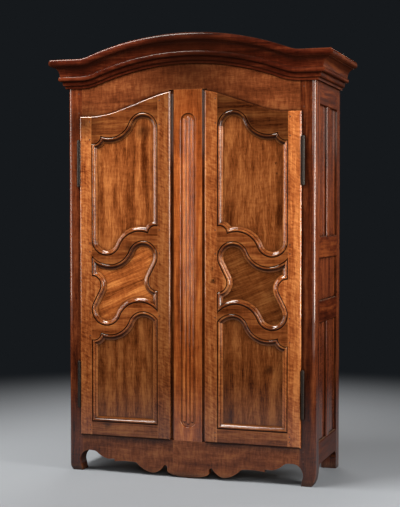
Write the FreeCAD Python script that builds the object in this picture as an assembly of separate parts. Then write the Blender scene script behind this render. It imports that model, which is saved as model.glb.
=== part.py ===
import FreeCAD
import Part
import math
import os

# Two-door arched armoire in walnut.
# Frame: +Z up, floor at z = 0, +X to the right of the viewer, the front faces -Y.
# Depths are distances behind the front face of the posts, heights are above the floor.
# All sizes in millimetres, angles in degrees.

# Case
CASE_WIDTH = 1400.0          # over the outer faces of the posts
CASE_DEPTH = 572.0           # front face of the front posts to the back of the back posts
POST_WIDTH = 84.0            # posts, seen from the front
POST_DEPTH = 84.0            # front posts, seen from the side
BACK_POST_DEPTH = 70.0       # back posts, seen from the side
POST_ROUND = 22.0            # rounded outer arris of the front posts
RAIL_THICK = 34.0            # frieze and apron
APRON_TOP = 212.0            # top edge of the apron
APRON_JOINT = -85.0          # x of the butt joint between the two apron pieces

# Feet of the front posts
FOOT_HEIGHT = 90.0           # where the outer edge starts to sweep in
FOOT_SWEEP = 22.0            # how far the outer edge has come in at the floor
FOOT_SETBACK = 8.0           # how far the front has gone back at the floor
FOOT_WAIST = 18.0            # bite of the scroll into the inner edge
FOOT_WAIST_HEIGHT = 72.0     # height of that bite
FOOT_TOE = 6.0               # inner edge at the floor, from the edge of the post

# Lower edge of the apron: out from the centre line
LOBE_DROP = 5.0              # lowest point of the centre lobe
LOBE_HALF = 119.0            # half width of the centre lobe
LOBE_SHOULDER = 34.0         # height of its upper corners
NOTCH_TOP = 62.0             # crown of the notch beside it
NOTCH_WIDTH = 24.0
PENDANT_X = 206.0            # tip of the pendant
PENDANT_TIP = 16.0
BAY_X = 372.0                # crown of the bay beyond the pendant
BAY_TOP = 69.0
BAY_FOOT = 86.0              # where the bay begins to level, before its crown
BAY_FALL = 16.0              # and how far below the crown

# Lower edge of the apron: in from the post
CUSP_IN = 188.0              # small step at the end of the bay
CUSP_LOW = 64.0
CUSP_TOP = 77.0
SWELL_IN = 154.0             # low swell before the scroll
SWELL_LOW = 75.0
SCROLL_IN = 42.0             # crown of the scroll beside the foot
SCROLL_TOP = 117.0
SCROLL_END = 102.0           # height where the scroll meets the post

# Centre stile between the doors
STILE_HALF = 109.0           # half of its full width
STILE_THICK = 40.0
REBATE_WIDTH = 29.0          # rebates that take the door edges
REBATE_GAP = 1.0             # back of the doors to the floor of the rebates
STILE_HOUSING = 10.0         # how far its ends are let into frieze and apron
REED_FIELD_HALF = 42.0       # half width of the sunk reeded field
REED_FIELD_DEPTH = 6.0
REED_FIELD_ROUND = 3.0
REED_FIELD_FOOT = 72.0       # sunk field above the lower end of the stile
REED_FIELD_HEAD = 127.0      # sunk field below the upper end of the stile
REED_RADIUS = 10.5
REED_PITCH = 22.0
REED_SINK = 0.5              # crest of the reeds below the stile face
REED_END = 14.0              # middle reed inside the end of the field
REED_STEP = 11.0             # outer reeds shorter than the middle one at each end

# Doors
LIP_LAP = 10.0               # the door lip laps over posts, frieze and apron
MEETING_LAP = 11.0           # the door edge laps into the rebate of the centre stile
LIP_GAP = 1.0                # lip to case face when shut
DOOR_GAP = 2.0               # door body to the edges of the door opening
DOOR_PROUD = 14.0            # door face in front of the case face
LIP_ROUND = 9.0              # rounded edge of the door face
STILE_FACE = 70.0            # flat face of the door stiles outside the moulding
BOTTOM_RAIL = 76.0           # flat face of the bottom rail
LOWER_PANEL = 618.0          # sill to crown of the lower opening
MIDDLE_PANEL = 470.0         # foot to crown of the middle opening
UPPER_PANEL = 778.0          # foot to crown of the upper opening
MID_RAIL = 46.0              # flat face of the two shaped rails
TOP_RAIL = 117.0             # top rail above the hollow of the upper opening

# Shaped edges of the panel openings
LOBE_RADIUS = 87.0           # full lobe beside one stile
OGEE_RISE = 132.0            # hollow to crown
HOLLOW_IN = 106.0            # hollow's low point inside the other stile
HOLLOW_RADIUS = 140.0        # hollow on the side away from the lobe
EAR_RADIUS = 42.0            # quarter-round ear in the corner of the tall openings
EAR_SET = 12.0               # its centre inside the edge of the opening
SIDE_EAR_RADIUS = 50.0       # ears that pinch the middle opening
SIDE_EAR_SET = 2.0
SIDE_EAR_RISE = 14.0         # their centre off the middle of that opening
SHOULDER_RADIUS = 108.0      # falling shoulder of the lower opening

# Moulding worked round each opening, and the panels
QUIRK_WIDTH = 3.0
BEAD_RADIUS = 8.5
BEAD_DROP = 4.5              # crest of the bead to its foot
BEAD_SINK = 0.5              # crest of the bead below the door face
BEAD_STEP = 2.5              # step between bead and hollow
LEDGE_WIDTH = 2.0
COVE_WIDTH = 12.0
COVE_DROP = 5.0
MOULD_EDGE = 1.5             # edge of the hollow to the panel
GROOVE_DEPTH = 10.0
PANEL_THICK = 10.0
PANEL_PLAY = 0.3             # panels in their grooves
BACK_LIP = 6.0               # door frame behind the panels

# Joinery
TENON_LENGTH = 38.0
TENON_THICK = 8.0
TENON_SHOULDER = 8.0
TENON_PLAY = 0.3             # at the end of a tenon
STUB_LENGTH = 16.0           # tenons of the muntins
PEG_RADIUS = 4.0
PEG_PLAY = 0.05
PEG_SET = 10.0               # door pegs from the shoulder line
PEG_END = 11.0               # door pegs from the ends of a tenon
CASE_TENON_LENGTH = 45.0
CASE_TENON_THICK = 12.0
CASE_PEG_SET = 20.0
CASE_PEG_END = 22.0
CASE_PEG_LENGTH = 42.0

# Arch of the frieze over the doors
FRIEZE_HEIGHT = 155.0        # door spring to the underside of the cornice
ARCH_RISE = 130.0
ARCH_FLAT = 46.0             # level flank beside each post
ARCH_PITCH = 19.0            # slope of the straight stretch
ARCH_FLANK_RADIUS = 550.0

# Cornice members from the bottom up, steps outwards as on the sides
CORNICE_FRONT = 46.0         # whole overhang at the front
BAND_OUT = 14.0
BAND_HIGH = 14.0
OVOLO_STEP = 6.0
OVOLO_OUT = 8.0
OVOLO_HIGH = 20.0
NECK_HIGH = 5.0
TORUS_STEP = 14.0
TORUS_OUT = 8.0
TORUS_HIGH = 24.0
HOLLOW_OUT = 36.0
HOLLOW_HIGH = 52.0
SOFFIT_STEP = 3.0
SOFFIT_HIGH = 3.0
NOSE_OUT = 17.0
NOSE_HIGH = 39.0
CORNICE_RISE = 114.0
CORNICE_FLAT = 80.0          # level run inside the corner of the case
CORNICE_FLANK_RADIUS = 303.0
POST_HEAD = 130.0            # posts and frieze run up behind the cornice

# Sides
SIDE_THICK = 28.0
SIDE_BOTTOM_EDGE = 105.0     # underside of the bottom rail
SIDE_BOTTOM_RAIL = 117.0
SIDE_BRACKET = 45.0          # curved brackets at the ends of the bottom rail
SIDE_LOWER_PANEL = 628.0
SIDE_MID_RAIL = 115.0
SIDE_MIDDLE_PANEL = 225.0
SIDE_TOP_RAIL = 117.0        # visible below the cornice
SIDE_MUNTIN = 60.0
SIDE_SINK = 12.0             # panels behind the face of the rails
SIDE_ROUND = 6.0             # rounded edges round the side panels
SIDE_GROOVE = 8.0

# Back
BACK_THICK = 24.0
BACK_SETBACK = 3.0           # back frame inside the back face of the posts
BACK_RAIL = 100.0
BACK_BOTTOM = 150.0
BACK_MIDDLE = 1150.0
BACK_MUNTIN = 80.0
BACK_PANEL_THICK = 10.0

# Inside
BOARD_THICK = 22.0           # floor and top boards
BOARD_COUNT = 3
FLOOR_TOP = 190.0
SHELF_THICK = 20.0
SHELF_FIRST = 620.0          # underside of the lowest shelf
SHELF_STEP = 430.0
SHELF_COUNT = 3
SHELF_FRONT = 60.0           # front edge behind the case face
SHELF_PLAY = 1.0             # at each end
CLEAT_WIDTH = 20.0
CLEAT_HEIGHT = 30.0

# Hinges, each a pin half on the post and a knuckle half on the door
HINGE_LENGTH = 250.0
HINGE_RADIUS = 8.0
HINGE_PIN = 3.5
HINGE_PIN_LENGTH = 60.0
HINGE_BORE_PLAY = 0.05
HINGE_EDGE_GAP = 1.0         # barrel to the door edge and to the post
HINGE_SPLIT = 0.5            # between the two halves
HINGE_LEAF = 3.0
HINGE_LEAF_DEPTH = 34.0      # leaf inside the wood
HINGE_LEAF_INSET = 10.0      # leaf shorter than its barrel at each end
HINGE_TIP = 5.5              # ball on each end
HINGE_FOOT = 155.0           # lower hinge above the bottom edge of the door
HINGE_HEAD = 132.0           # upper hinge below the spring of the door top

# Lock on the right door
LOCK_RISE = 27.0             # keyhole above the middle of the middle opening
LOCK_WIDTH = 80.0
LOCK_HEIGHT = 120.0
LOCK_DEPTH = 22.0
LOCK_WALL = 2.0
LOCK_EDGE = 4.0              # case to the edge of the centre stile
KEYHOLE_IN = 34.0            # keyhole from the front end of the case
KEYHOLE_RADIUS = 4.5
KEYHOLE_SLOT = 4.0
KEYHOLE_LENGTH = 14.0
LATCH_HEIGHT = 24.0
LATCH_THICK = 8.0
LATCH_LENGTH = 58.0
LATCH_RISE = 28.0            # latch above the keyhole
LATCH_THROW = 14.0
LATCH_PLAY = 0.2
LATCH_STUD = 3.0             # fixed stud in the slot of the latch
LATCH_STUD_IN = 18.0         # stud from the front end of the case
MORTISE_PLAY = 1.5           # round latch and bolts where they enter the case

# Sliding bolts on the left door
BOLT_IN = 35.0               # centre line of the bolts from the meeting edge
BOLT_WIDTH = 14.0
BOLT_THICK = 6.0
BOLT_LENGTH = 200.0
BOLT_THROW = 22.0
BOLT_STANDOFF = 2.0          # bolt off the back of the door
BOLT_RETRACT = 9.0           # withdrawn bolt inside the door edge
BOLT_KNOB = 6.0
BOLT_KNOB_LENGTH = 14.0
BOLT_PLAY = 0.2
GUIDE_WIDTH = 32.0
GUIDE_HEIGHT = 16.0
GUIDE_DEPTH = 12.0
GUIDE_SET = 40.0             # guides from the ends of the bolt

# Places that follow from the sizes
FRONT = (CORNICE_FRONT - CASE_DEPTH) / 2
HALF = CASE_WIDTH / 2
INNER = HALF - POST_WIDTH
SIDE_FRONT = POST_DEPTH
SIDE_BACK = CASE_DEPTH - BACK_POST_DEPTH
BACK_FRONT = CASE_DEPTH - BACK_SETBACK - BACK_THICK
STILE_FIELD = STILE_HALF - REBATE_WIDTH
DOOR_OUT = INNER + LIP_LAP
DOOR_IN = STILE_HALF - MEETING_LAP
DOOR_CENTRE = -(DOOR_OUT + DOOR_IN) / 2
SPAN = (DOOR_OUT - DOOR_IN) / 2 - STILE_FACE
BEAD_HALF = math.sqrt(BEAD_RADIUS ** 2 - (BEAD_RADIUS - BEAD_DROP) ** 2)
BEAD_END = QUIRK_WIDTH + 2 * BEAD_HALF
MOULD_WIDTH = BEAD_END + LEDGE_WIDTH + COVE_WIDTH
QUIRK_DEPTH = BEAD_SINK + BEAD_DROP
LEDGE_DEPTH = QUIRK_DEPTH + BEAD_STEP
PANEL_SINK = LEDGE_DEPTH + COVE_DROP + MOULD_EDGE
PANEL_FRONT = PANEL_SINK - DOOR_PROUD
DOOR_BACK = PANEL_FRONT + PANEL_THICK + BACK_LIP
REBATE_DEPTH = DOOR_BACK + REBATE_GAP
DOOR_BOTTOM = APRON_TOP - LIP_LAP
SILL = DOOR_BOTTOM + BOTTOM_RAIL
LOWER_CROWN = SILL + LOWER_PANEL
MIDDLE_FOOT = LOWER_CROWN - OGEE_RISE + MID_RAIL
MIDDLE_CROWN = MIDDLE_FOOT + MIDDLE_PANEL
MIDDLE = MIDDLE_FOOT + MIDDLE_PANEL / 2
UPPER_FOOT = MIDDLE_CROWN - OGEE_RISE + MID_RAIL
UPPER_CROWN = UPPER_FOOT + UPPER_PANEL
UPPER = UPPER_FOOT + UPPER_PANEL / 2
SPRING = UPPER_CROWN - OGEE_RISE + TOP_RAIL
ARCH_SPRING = INNER - ARCH_FLAT
CORNICE_FOOT = SPRING + FRIEZE_HEIGHT
CORNICE_SPRING = HALF - CORNICE_FLAT
POST_TOP = CORNICE_FOOT + POST_HEAD
BODY_DROP = LIP_LAP + DOOR_GAP
STILE_LOW = APRON_TOP - STILE_HOUSING
STILE_HIGH = SPRING + ARCH_RISE - LIP_LAP + STILE_HOUSING
PIVOT_X = DOOR_OUT + HINGE_EDGE_GAP + HINGE_RADIUS
PIVOT_DEPTH = -HINGE_EDGE_GAP - HINGE_RADIUS

pieces = {}


def at(x, depth, z):
    return FreeCAD.Vector(x, FRONT + depth, z)


def slab(x0, x1, d0, d1, z0, z1):
    """Squared timber between two x, two depths behind the front face and two heights."""
    return Part.makeBox(x1 - x0, d1 - d0, z1 - z0, at(x0, d0, z0))


def rod(radius, d0, d1, x, z):
    """Round rod running front to back."""
    return Part.makeCylinder(radius, d1 - d0, at(x, d0, z), FreeCAD.Vector(0, 1, 0))


def mirrored(shape):
    return shape.mirror(FreeCAD.Vector(0, 0, 0), FreeCAD.Vector(1, 0, 0))


def line(p, q):
    return Part.makeLine(at(p[0], 0, p[1]), at(q[0], 0, q[1]))


def chain(points):
    return [line(p, q) for p, q in zip(points, points[1:])]


def polar(centre, radius, angle):
    return (centre[0] + radius * math.cos(angle), centre[1] + radius * math.sin(angle))


def arc(centre, p, q, turn):
    """Arc about centre from p to q, turn +1 anticlockwise or -1 clockwise as seen from the front."""
    radius = math.hypot(p[0] - centre[0], p[1] - centre[1])
    first = math.atan2(p[1] - centre[1], p[0] - centre[0])
    sweep = math.atan2(q[1] - centre[1], q[0] - centre[0]) - first
    sweep = turn * ((turn * sweep) % (2 * math.pi))
    middle = polar(centre, radius, first + sweep / 2)
    return Part.Arc(at(p[0], 0, p[1]), at(middle[0], 0, middle[1]), at(q[0], 0, q[1])).toShape()


def curve(points, start, end):
    """Smooth curve through a few points of the front view, leaving and arriving in given directions."""
    spline = Part.BSplineCurve()
    spline.interpolate(Points=[at(x, 0, z) for x, z in points],
                       InitialTangent=FreeCAD.Vector(start[0], 0, start[1]),
                       FinalTangent=FreeCAD.Vector(end[0], 0, end[1]))
    return spline.toShape()


def quarter(points):
    """Quarter of an ellipse from the first place to the last, hugging the middle one."""
    bend = Part.BezierCurve()
    bend.setPoles(points)
    bend.setWeight(2, math.sqrt(0.5))
    return bend.toShape()


def face_of(edges):
    return Part.Face(Part.Wire(Part.__sortEdges__(edges)))


def plate(face, d0, d1):
    """Front-view face made into a plate between two depths."""
    lifted = face.translated(FreeCAD.Vector(0, d0, 0))
    return lifted.extrude(FreeCAD.Vector(0, d1 - d0, 0))


def turned(shape):
    """Front-view shape turned to the right side: x becomes depth, thickness runs inwards from the face."""
    side_view = shape.rotated(at(0, 0, 0), FreeCAD.Vector(0, 0, 1), 90)
    return side_view.translated(FreeCAD.Vector(HALF, 0, 0))


def inset(face, distance):
    return face.makeOffset2D(-distance, 2) if distance else face


def near(a, b):
    return abs(a - b) < 0.01


def rounded(shape, radius, wanted):
    """Round the edges whose middle point answers the test."""
    edges = [e for e in shape.Edges if wanted(e.CenterOfMass)]
    return shape.makeFillet(radius, edges)


# Arch over the doors
def arch_radii():
    """Pitch of the straight stretch and the radius of the crown that gives the wanted rise."""
    pitch = math.radians(ARCH_PITCH)
    s, c = math.sin(pitch), math.cos(pitch)
    both = (ARCH_SPRING * s - ARCH_RISE * c) / (s * s - (1 - c) * c)
    return pitch, both - ARCH_FLANK_RADIUS


def arch_height(x):
    """Height of the door top at a distance from the centre line."""
    pitch, crown = arch_radii()
    foot = ARCH_SPRING - ARCH_FLANK_RADIUS * math.sin(pitch)
    head = crown * math.sin(pitch)
    top = SPRING + ARCH_RISE
    if x >= ARCH_SPRING:
        return SPRING
    if x >= foot:
        return SPRING + ARCH_FLANK_RADIUS - math.sqrt(ARCH_FLANK_RADIUS ** 2 - (ARCH_SPRING - x) ** 2)
    if x >= head:
        return top - crown * (1 - math.cos(pitch)) - (x - head) * math.tan(pitch)
    return top - crown + math.sqrt(crown ** 2 - x ** 2)


def arch_plate(d0, d1, drop, floor):
    """Everything below the arch, lowered by a drop, down to a floor height."""
    pitch, crown = arch_radii()
    foot = ARCH_SPRING - ARCH_FLANK_RADIUS * math.sin(pitch)
    head = crown * math.sin(pitch)
    spring, low, high = SPRING - drop, arch_height(foot) - drop, arch_height(head) - drop
    flank = (ARCH_SPRING, spring + ARCH_FLANK_RADIUS)
    hub = (0.0, SPRING + ARCH_RISE - crown - drop)
    half = [arc(flank, (ARCH_SPRING, spring), (foot, low), -1), line((foot, low), (head, high))]
    edges = half + [mirrored(e) for e in half] + [arc(hub, (head, high), (-head, high), 1)]
    edges += chain([(-ARCH_SPRING, spring), (-HALF, spring), (-HALF, floor), (HALF, floor),
                    (HALF, spring), (ARCH_SPRING, spring)])
    return plate(face_of(edges), d0, d1)


# Cornice
def cornice_outs():
    """Outward places of the cornice members, running sums of their steps."""
    ovolo_in = BAND_OUT + OVOLO_STEP
    ovolo = ovolo_in + OVOLO_OUT
    torus_in = ovolo + TORUS_STEP
    torus = torus_in + TORUS_OUT
    hollow = torus_in + HOLLOW_OUT
    nose_in = hollow + SOFFIT_STEP
    return ovolo_in, ovolo, torus_in, torus, hollow, nose_in, nose_in + NOSE_OUT


def cornice_section(origin, outward):
    """Section of the cornice on its lower inner corner: band, ovolo, torus, hollow and nose."""
    ups = [0.0]
    for high in (BAND_HIGH, OVOLO_HIGH, NECK_HIGH, TORUS_HIGH, HOLLOW_HIGH, SOFFIT_HIGH, NOSE_HIGH):
        ups.append(ups[-1] + high)
    foot, band, ovolo_top, neck, torus_top, hollow_top, soffit, top = ups
    ovolo_in, ovolo, torus_in, torus, hollow, nose_in, nose = cornice_outs()

    def place(out, up):
        return origin + outward * out + FreeCAD.Vector(0, 0, up)

    def straight(*points):
        places = [place(*p) for p in points]
        return [Part.makeLine(p, q) for p, q in zip(places, places[1:])]

    def bend(*points):
        return [quarter([place(*p) for p in points])]

    waist, chin = (neck + torus_top) / 2, (soffit + top) / 2
    edges = straight((nose_in, top), (0, top), (0, foot), (BAND_OUT, foot), (BAND_OUT, band),
                     (ovolo_in, band))
    edges += bend((ovolo_in, band), (ovolo, band), (ovolo, ovolo_top))
    edges += straight((ovolo, ovolo_top), (ovolo, neck), (torus_in, neck))
    edges += bend((torus_in, neck), (torus, neck), (torus, waist))
    edges += bend((torus, waist), (torus, torus_top), (torus_in, torus_top))
    edges += bend((torus_in, torus_top), (torus_in, hollow_top), (hollow, hollow_top))
    edges += straight((hollow, hollow_top), (hollow, soffit), (nose_in, soffit))
    edges += bend((nose_in, soffit), (nose, soffit), (nose, chin))
    edges += bend((nose, chin), (nose, top), (nose_in, top))
    return Part.Face(Part.Wire(edges))


def plan_prism(points, z0, z1):
    """Upright prism over a plan of x, depth points."""
    places = [at(x, d, z0) for x, d in points + points[:1]]
    return Part.Face(Part.makePolygon(places)).extrude(FreeCAD.Vector(0, 0, z1 - z0))


def cornice_radii():
    """Crown radius and the turn where flank and crown of the cornice arch meet."""
    both = (CORNICE_SPRING ** 2 + CORNICE_RISE ** 2) / (2 * CORNICE_RISE)
    return both - CORNICE_FLANK_RADIUS, math.asin(CORNICE_SPRING / both)


def cornice_pieces():
    """Arched front of the cornice and its straight return on the right, mitred at the corner."""
    side_out = cornice_outs()[-1]
    through = FreeCAD.Vector(0, 1, 0)
    ahead = FreeCAD.Vector(0, -CORNICE_FRONT / side_out, 0)
    crown_radius, turn = cornice_radii()
    angle = math.degrees(turn)
    level = cornice_section(at(CORNICE_SPRING, 0, CORNICE_FOOT), ahead)
    flat = level.extrude(FreeCAD.Vector(HALF + side_out - CORNICE_SPRING, 0, 0))
    flank = level.revolve(at(CORNICE_SPRING, 0, CORNICE_FOOT + CORNICE_FLANK_RADIUS), through, angle)
    hub = at(0, 0, CORNICE_FOOT + CORNICE_RISE - crown_radius)
    top = cornice_section(at(0, 0, CORNICE_FOOT + CORNICE_RISE), ahead)
    top.rotate(hub, through, -angle)
    crown = top.revolve(hub, through, 2 * angle)
    front = crown.multiFuse([flank, flat, mirrored(flank), mirrored(flat)]).removeSplitter()
    far, forward = HALF + 2 * side_out, -2 * CORNICE_FRONT
    base, head = CORNICE_FOOT - 1, CORNICE_FOOT + 2 * (CORNICE_RISE + POST_HEAD)
    outside = plan_prism([(HALF, 0), (far, forward), (far, 0)], base, head)
    inside = plan_prism([(HALF, 0), (far, forward), (HALF, forward)], base, head)
    side = cornice_section(at(HALF, -CORNICE_FRONT, CORNICE_FOOT), FreeCAD.Vector(1, 0, 0))
    side = side.extrude(FreeCAD.Vector(0, CASE_DEPTH + CORNICE_FRONT, 0))
    return front.cut([outside, mirrored(outside)]), side.cut(inside)


# Panel openings of a door, drawn about their own middle with the meeting stile to the right
def lobe_and_hollow(crown):
    """The shaped top edge shared by all openings: from the top of the lobe to the low of the hollow."""
    lobe = (SPAN - LOBE_RADIUS, crown - LOBE_RADIUS)
    top = (lobe[0], crown)
    low = (HOLLOW_IN - SPAN, crown - OGEE_RISE)
    run = top[0] - low[0]
    radius = (run ** 2 + OGEE_RISE ** 2) / (2 * OGEE_RISE) - LOBE_RADIUS
    hollow = (low[0], low[1] + radius)
    share = LOBE_RADIUS / (LOBE_RADIUS + radius)
    turn = (lobe[0] + (hollow[0] - lobe[0]) * share, lobe[1] + (hollow[1] - lobe[1]) * share)
    return lobe, top, turn, hollow, low


def hollow_height(crown, x, grown):
    """Height of the outer part of the hollow at x, with the edge moved in by grown."""
    radius = HOLLOW_RADIUS + grown
    low = (HOLLOW_IN - SPAN, crown - OGEE_RISE - grown)
    return low[1] + radius - math.sqrt(radius ** 2 - (x - low[0]) ** 2)


def hollow_corner(crown, grown):
    return (grown - SPAN, hollow_height(crown, grown - SPAN, grown))


def ear_centre(crown):
    tip = EAR_SET + EAR_RADIUS - SPAN
    return (EAR_SET - SPAN, hollow_height(crown, tip, 0))


def ear_corner(crown, grown):
    """Corner between ear and stile, with the edge moved in by grown."""
    centre = ear_centre(crown)
    x = grown - SPAN
    return (x, centre[1] - math.sqrt((EAR_RADIUS + grown) ** 2 - (x - centre[0]) ** 2))


def shoulder_corner(crown, grown):
    """Corner between the falling shoulder and the meeting stile."""
    x = SPAN - grown
    centre = (SPAN - LOBE_RADIUS, crown - SHOULDER_RADIUS)
    return (x, centre[1] + math.sqrt((SHOULDER_RADIUS - grown) ** 2 - (x - centre[0]) ** 2))


def eared_top(crown):
    """Lobe, hollow, cusp and ear from the crown to the corner at the far stile."""
    lobe, top, turn, hollow, low = lobe_and_hollow(crown)
    ear = ear_centre(crown)
    cusp = (ear[0] + EAR_RADIUS, ear[1])
    outer = (low[0], low[1] + HOLLOW_RADIUS)
    return [arc(lobe, top, turn, 1), arc(hollow, turn, low, -1), arc(outer, low, cusp, -1),
            arc(ear, cusp, ear_corner(crown, 0), -1)]


def half_turn(edges):
    return [e.rotated(at(0, 0, 0), FreeCAD.Vector(0, 1, 0), 180) for e in edges]


def upper_opening():
    crown = UPPER_PANEL / 2
    lobe = lobe_and_hollow(crown)[0]
    corner = ear_corner(crown, 0)
    side = (SPAN, lobe[1])
    half = [line((SPAN, -corner[1]), side), arc(lobe, side, (lobe[0], crown), 1)] + eared_top(crown)
    return face_of(half + half_turn(half)).translated(FreeCAD.Vector(DOOR_CENTRE, 0, UPPER))


def middle_opening():
    crown = MIDDLE_PANEL / 2
    lobe, top, turn, hollow, low = lobe_and_hollow(crown)
    outer = (low[0], low[1] + HOLLOW_RADIUS)
    corner = hollow_corner(crown, 0)
    ear = (SPAN - SIDE_EAR_SET, SIDE_EAR_RISE)
    pinch = (SPAN, ear[1] - math.sqrt(SIDE_EAR_RADIUS ** 2 - SIDE_EAR_SET ** 2))
    reach = math.atan2(lobe[1] - ear[1], lobe[0] - ear[0])
    lean = math.acos((SIDE_EAR_RADIUS + LOBE_RADIUS) / math.hypot(lobe[0] - ear[0], lobe[1] - ear[1]))
    leave = polar(ear, SIDE_EAR_RADIUS, reach + lean)
    join = polar(lobe, LOBE_RADIUS, reach + lean + math.pi)
    half = [line((SPAN, -corner[1]), pinch), arc(ear, pinch, leave, -1), line(leave, join),
            arc(lobe, join, top, 1), arc(lobe, top, turn, 1), arc(hollow, turn, low, -1),
            arc(outer, low, corner, -1)]
    return face_of(half + half_turn(half)).translated(FreeCAD.Vector(DOOR_CENTRE, 0, MIDDLE))


def lower_opening():
    crown = LOWER_PANEL
    lobe, top = lobe_and_hollow(crown)[:2]
    fall = shoulder_corner(crown, 0)
    edges = chain([ear_corner(crown, 0), (-SPAN, 0), (SPAN, 0), fall])
    edges += [arc((lobe[0], crown - SHOULDER_RADIUS), fall, top, 1)] + eared_top(crown)
    return face_of(edges).translated(FreeCAD.Vector(DOOR_CENTRE, 0, SILL))


def moulded_opening(face):
    """Solid to cut from a door: quirk, bead, step, hollow and the way through, mitred at the corners."""
    centre = (QUIRK_WIDTH + BEAD_HALF, BEAD_SINK + BEAD_RADIUS)
    bead_swing = math.asin(BEAD_HALF / BEAD_RADIUS)
    bead = [(centre[0] + BEAD_RADIUS * math.sin(k * bead_swing / 3),
             centre[1] - BEAD_RADIUS * math.cos(k * bead_swing / 3)) for k in range(-3, 4)]
    cove_radius = (COVE_WIDTH ** 2 + COVE_DROP ** 2) / (2 * COVE_DROP)
    cove_swing = math.asin(COVE_WIDTH / cove_radius)
    cove_floor = LEDGE_DEPTH + COVE_DROP
    cove = [(MOULD_WIDTH - cove_radius * math.sin(k * cove_swing / 4),
             cove_floor - cove_radius * (1 - math.cos(k * cove_swing / 4))) for k in range(4, -1, -1)]

    def ring(distance, sunk):
        return inset(face, distance).translated(FreeCAD.Vector(0, sunk - DOOR_PROUD, 0))

    def wall(distance, from_depth, to_depth):
        start = ring(distance, from_depth).OuterWire
        return start.extrude(FreeCAD.Vector(0, to_depth - from_depth, 0)).Faces

    def floor(outer, inner, sunk):
        return [ring(outer, sunk).cut(ring(inner, sunk)).Faces[0]]

    def bend(stations):
        return Part.makeLoft([ring(*s).OuterWire for s in stations], False, False).Faces

    ahead, behind = -1.0, DOOR_PROUD + DOOR_BACK + 1.0
    ledge_end = BEAD_END + LEDGE_WIDTH
    faces = [ring(0, ahead)] + wall(0, ahead, QUIRK_DEPTH) + floor(0, QUIRK_WIDTH, QUIRK_DEPTH) + bend(bead)
    faces += wall(BEAD_END, QUIRK_DEPTH, LEDGE_DEPTH) + floor(BEAD_END, ledge_end, LEDGE_DEPTH) + bend(cove)
    faces += wall(MOULD_WIDTH, cove_floor, behind) + [ring(MOULD_WIDTH, behind)]
    shell = Part.makeShell(faces)
    shell.sewShape(0.01)
    return Part.makeSolid(shell.Shells[0])


# Doors
def stile_regions():
    """Front-view outlines of the two door stiles: along the shoulder lines, mitred through the mouldings."""
    deep = MOULD_WIDTH + GROOVE_DEPTH
    upper, middle, lower = UPPER_PANEL / 2, MIDDLE_PANEL / 2, LOWER_PANEL
    void = SPAN - deep
    head, foot = SPRING + ARCH_RISE + DOOR_PROUD, DOOR_BOTTOM - DOOR_PROUD

    def lift(points, level, over=1):
        return [(DOOR_CENTRE + over * x, level + over * z) for x, z in points]

    def square(crown):
        return [(void, crown - LOBE_RADIUS), (SPAN, crown - LOBE_RADIUS)]

    ear = [ear_corner(upper, 0), ear_corner(upper, deep)]
    hollow = [hollow_corner(middle, 0), hollow_corner(middle, deep), (0, 0)]
    lower_ear = [ear_corner(lower, 0), ear_corner(lower, deep), (-void, deep), (-SPAN, 0)]
    fall = [shoulder_corner(lower, 0), shoulder_corner(lower, deep), (void, deep), (SPAN, 0)]
    out, meet = DOOR_CENTRE - SPAN, DOOR_CENTRE + SPAN
    hinge = [(out - deep - STILE_FACE, head), (out, head)] + lift(ear, UPPER)
    hinge += lift(square(upper), UPPER, -1) + lift(hollow, MIDDLE) + lift(square(middle), MIDDLE, -1)
    hinge += lift(lower_ear, SILL) + [(out, foot), (out - deep - STILE_FACE, foot)]
    meeting = [(meet + deep + STILE_FACE, head), (meet, head)] + lift(square(upper)[::-1], UPPER)
    meeting += lift(ear[::-1], UPPER, -1) + lift(square(middle)[::-1], MIDDLE)
    meeting += lift(hollow[::-1], MIDDLE, -1) + lift(fall, SILL)
    meeting += [(meet, foot), (meet + deep + STILE_FACE, foot)]
    return [plate(face_of(chain(region + region[:1])), -2 * DOOR_PROUD, DOOR_BACK + DOOR_PROUD)
            for region in (hinge, meeting)]


def tenon_heights():
    """Lower and upper height of each rail at the hinge stile and at the meeting stile, top rail first."""
    upper, middle, lower = UPPER_PANEL / 2, MIDDLE_PANEL / 2, LOWER_PANEL
    ear, hollow = ear_corner(upper, 0)[1], hollow_corner(middle, 0)[1]
    base = APRON_TOP + DOOR_GAP
    hinge = [(UPPER + ear, SPRING - BODY_DROP),
             (MIDDLE + hollow, UPPER - upper + LOBE_RADIUS),
             (SILL + ear_corner(lower, 0)[1], MIDDLE - middle + LOBE_RADIUS), (base, SILL)]
    meeting = [(UPPER + upper - LOBE_RADIUS, arch_height(-DOOR_CENTRE - SPAN) - BODY_DROP),
               (MIDDLE + middle - LOBE_RADIUS, UPPER - ear),
               (SILL + shoulder_corner(lower, 0)[1], MIDDLE - hollow), (base, SILL)]
    return hinge, meeting


def door_blank():
    """Left door before its openings: a lip that laps over the case and a body that fits between."""
    lip = arch_plate(-DOOR_PROUD, -LIP_GAP, 0, DOOR_BOTTOM)
    lip = lip.common(slab(-DOOR_OUT, -DOOR_IN, -DOOR_PROUD, -LIP_GAP, 0, POST_TOP))
    lip = rounded(lip, LIP_ROUND, lambda c: near(c.y, FRONT - DOOR_PROUD))
    body = arch_plate(-LIP_GAP, DOOR_BACK, BODY_DROP, APRON_TOP + DOOR_GAP)
    body = body.common(slab(DOOR_GAP - INNER, -DOOR_IN, -LIP_GAP, DOOR_BACK, 0, POST_TOP))
    return lip.fuse(body)


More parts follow.
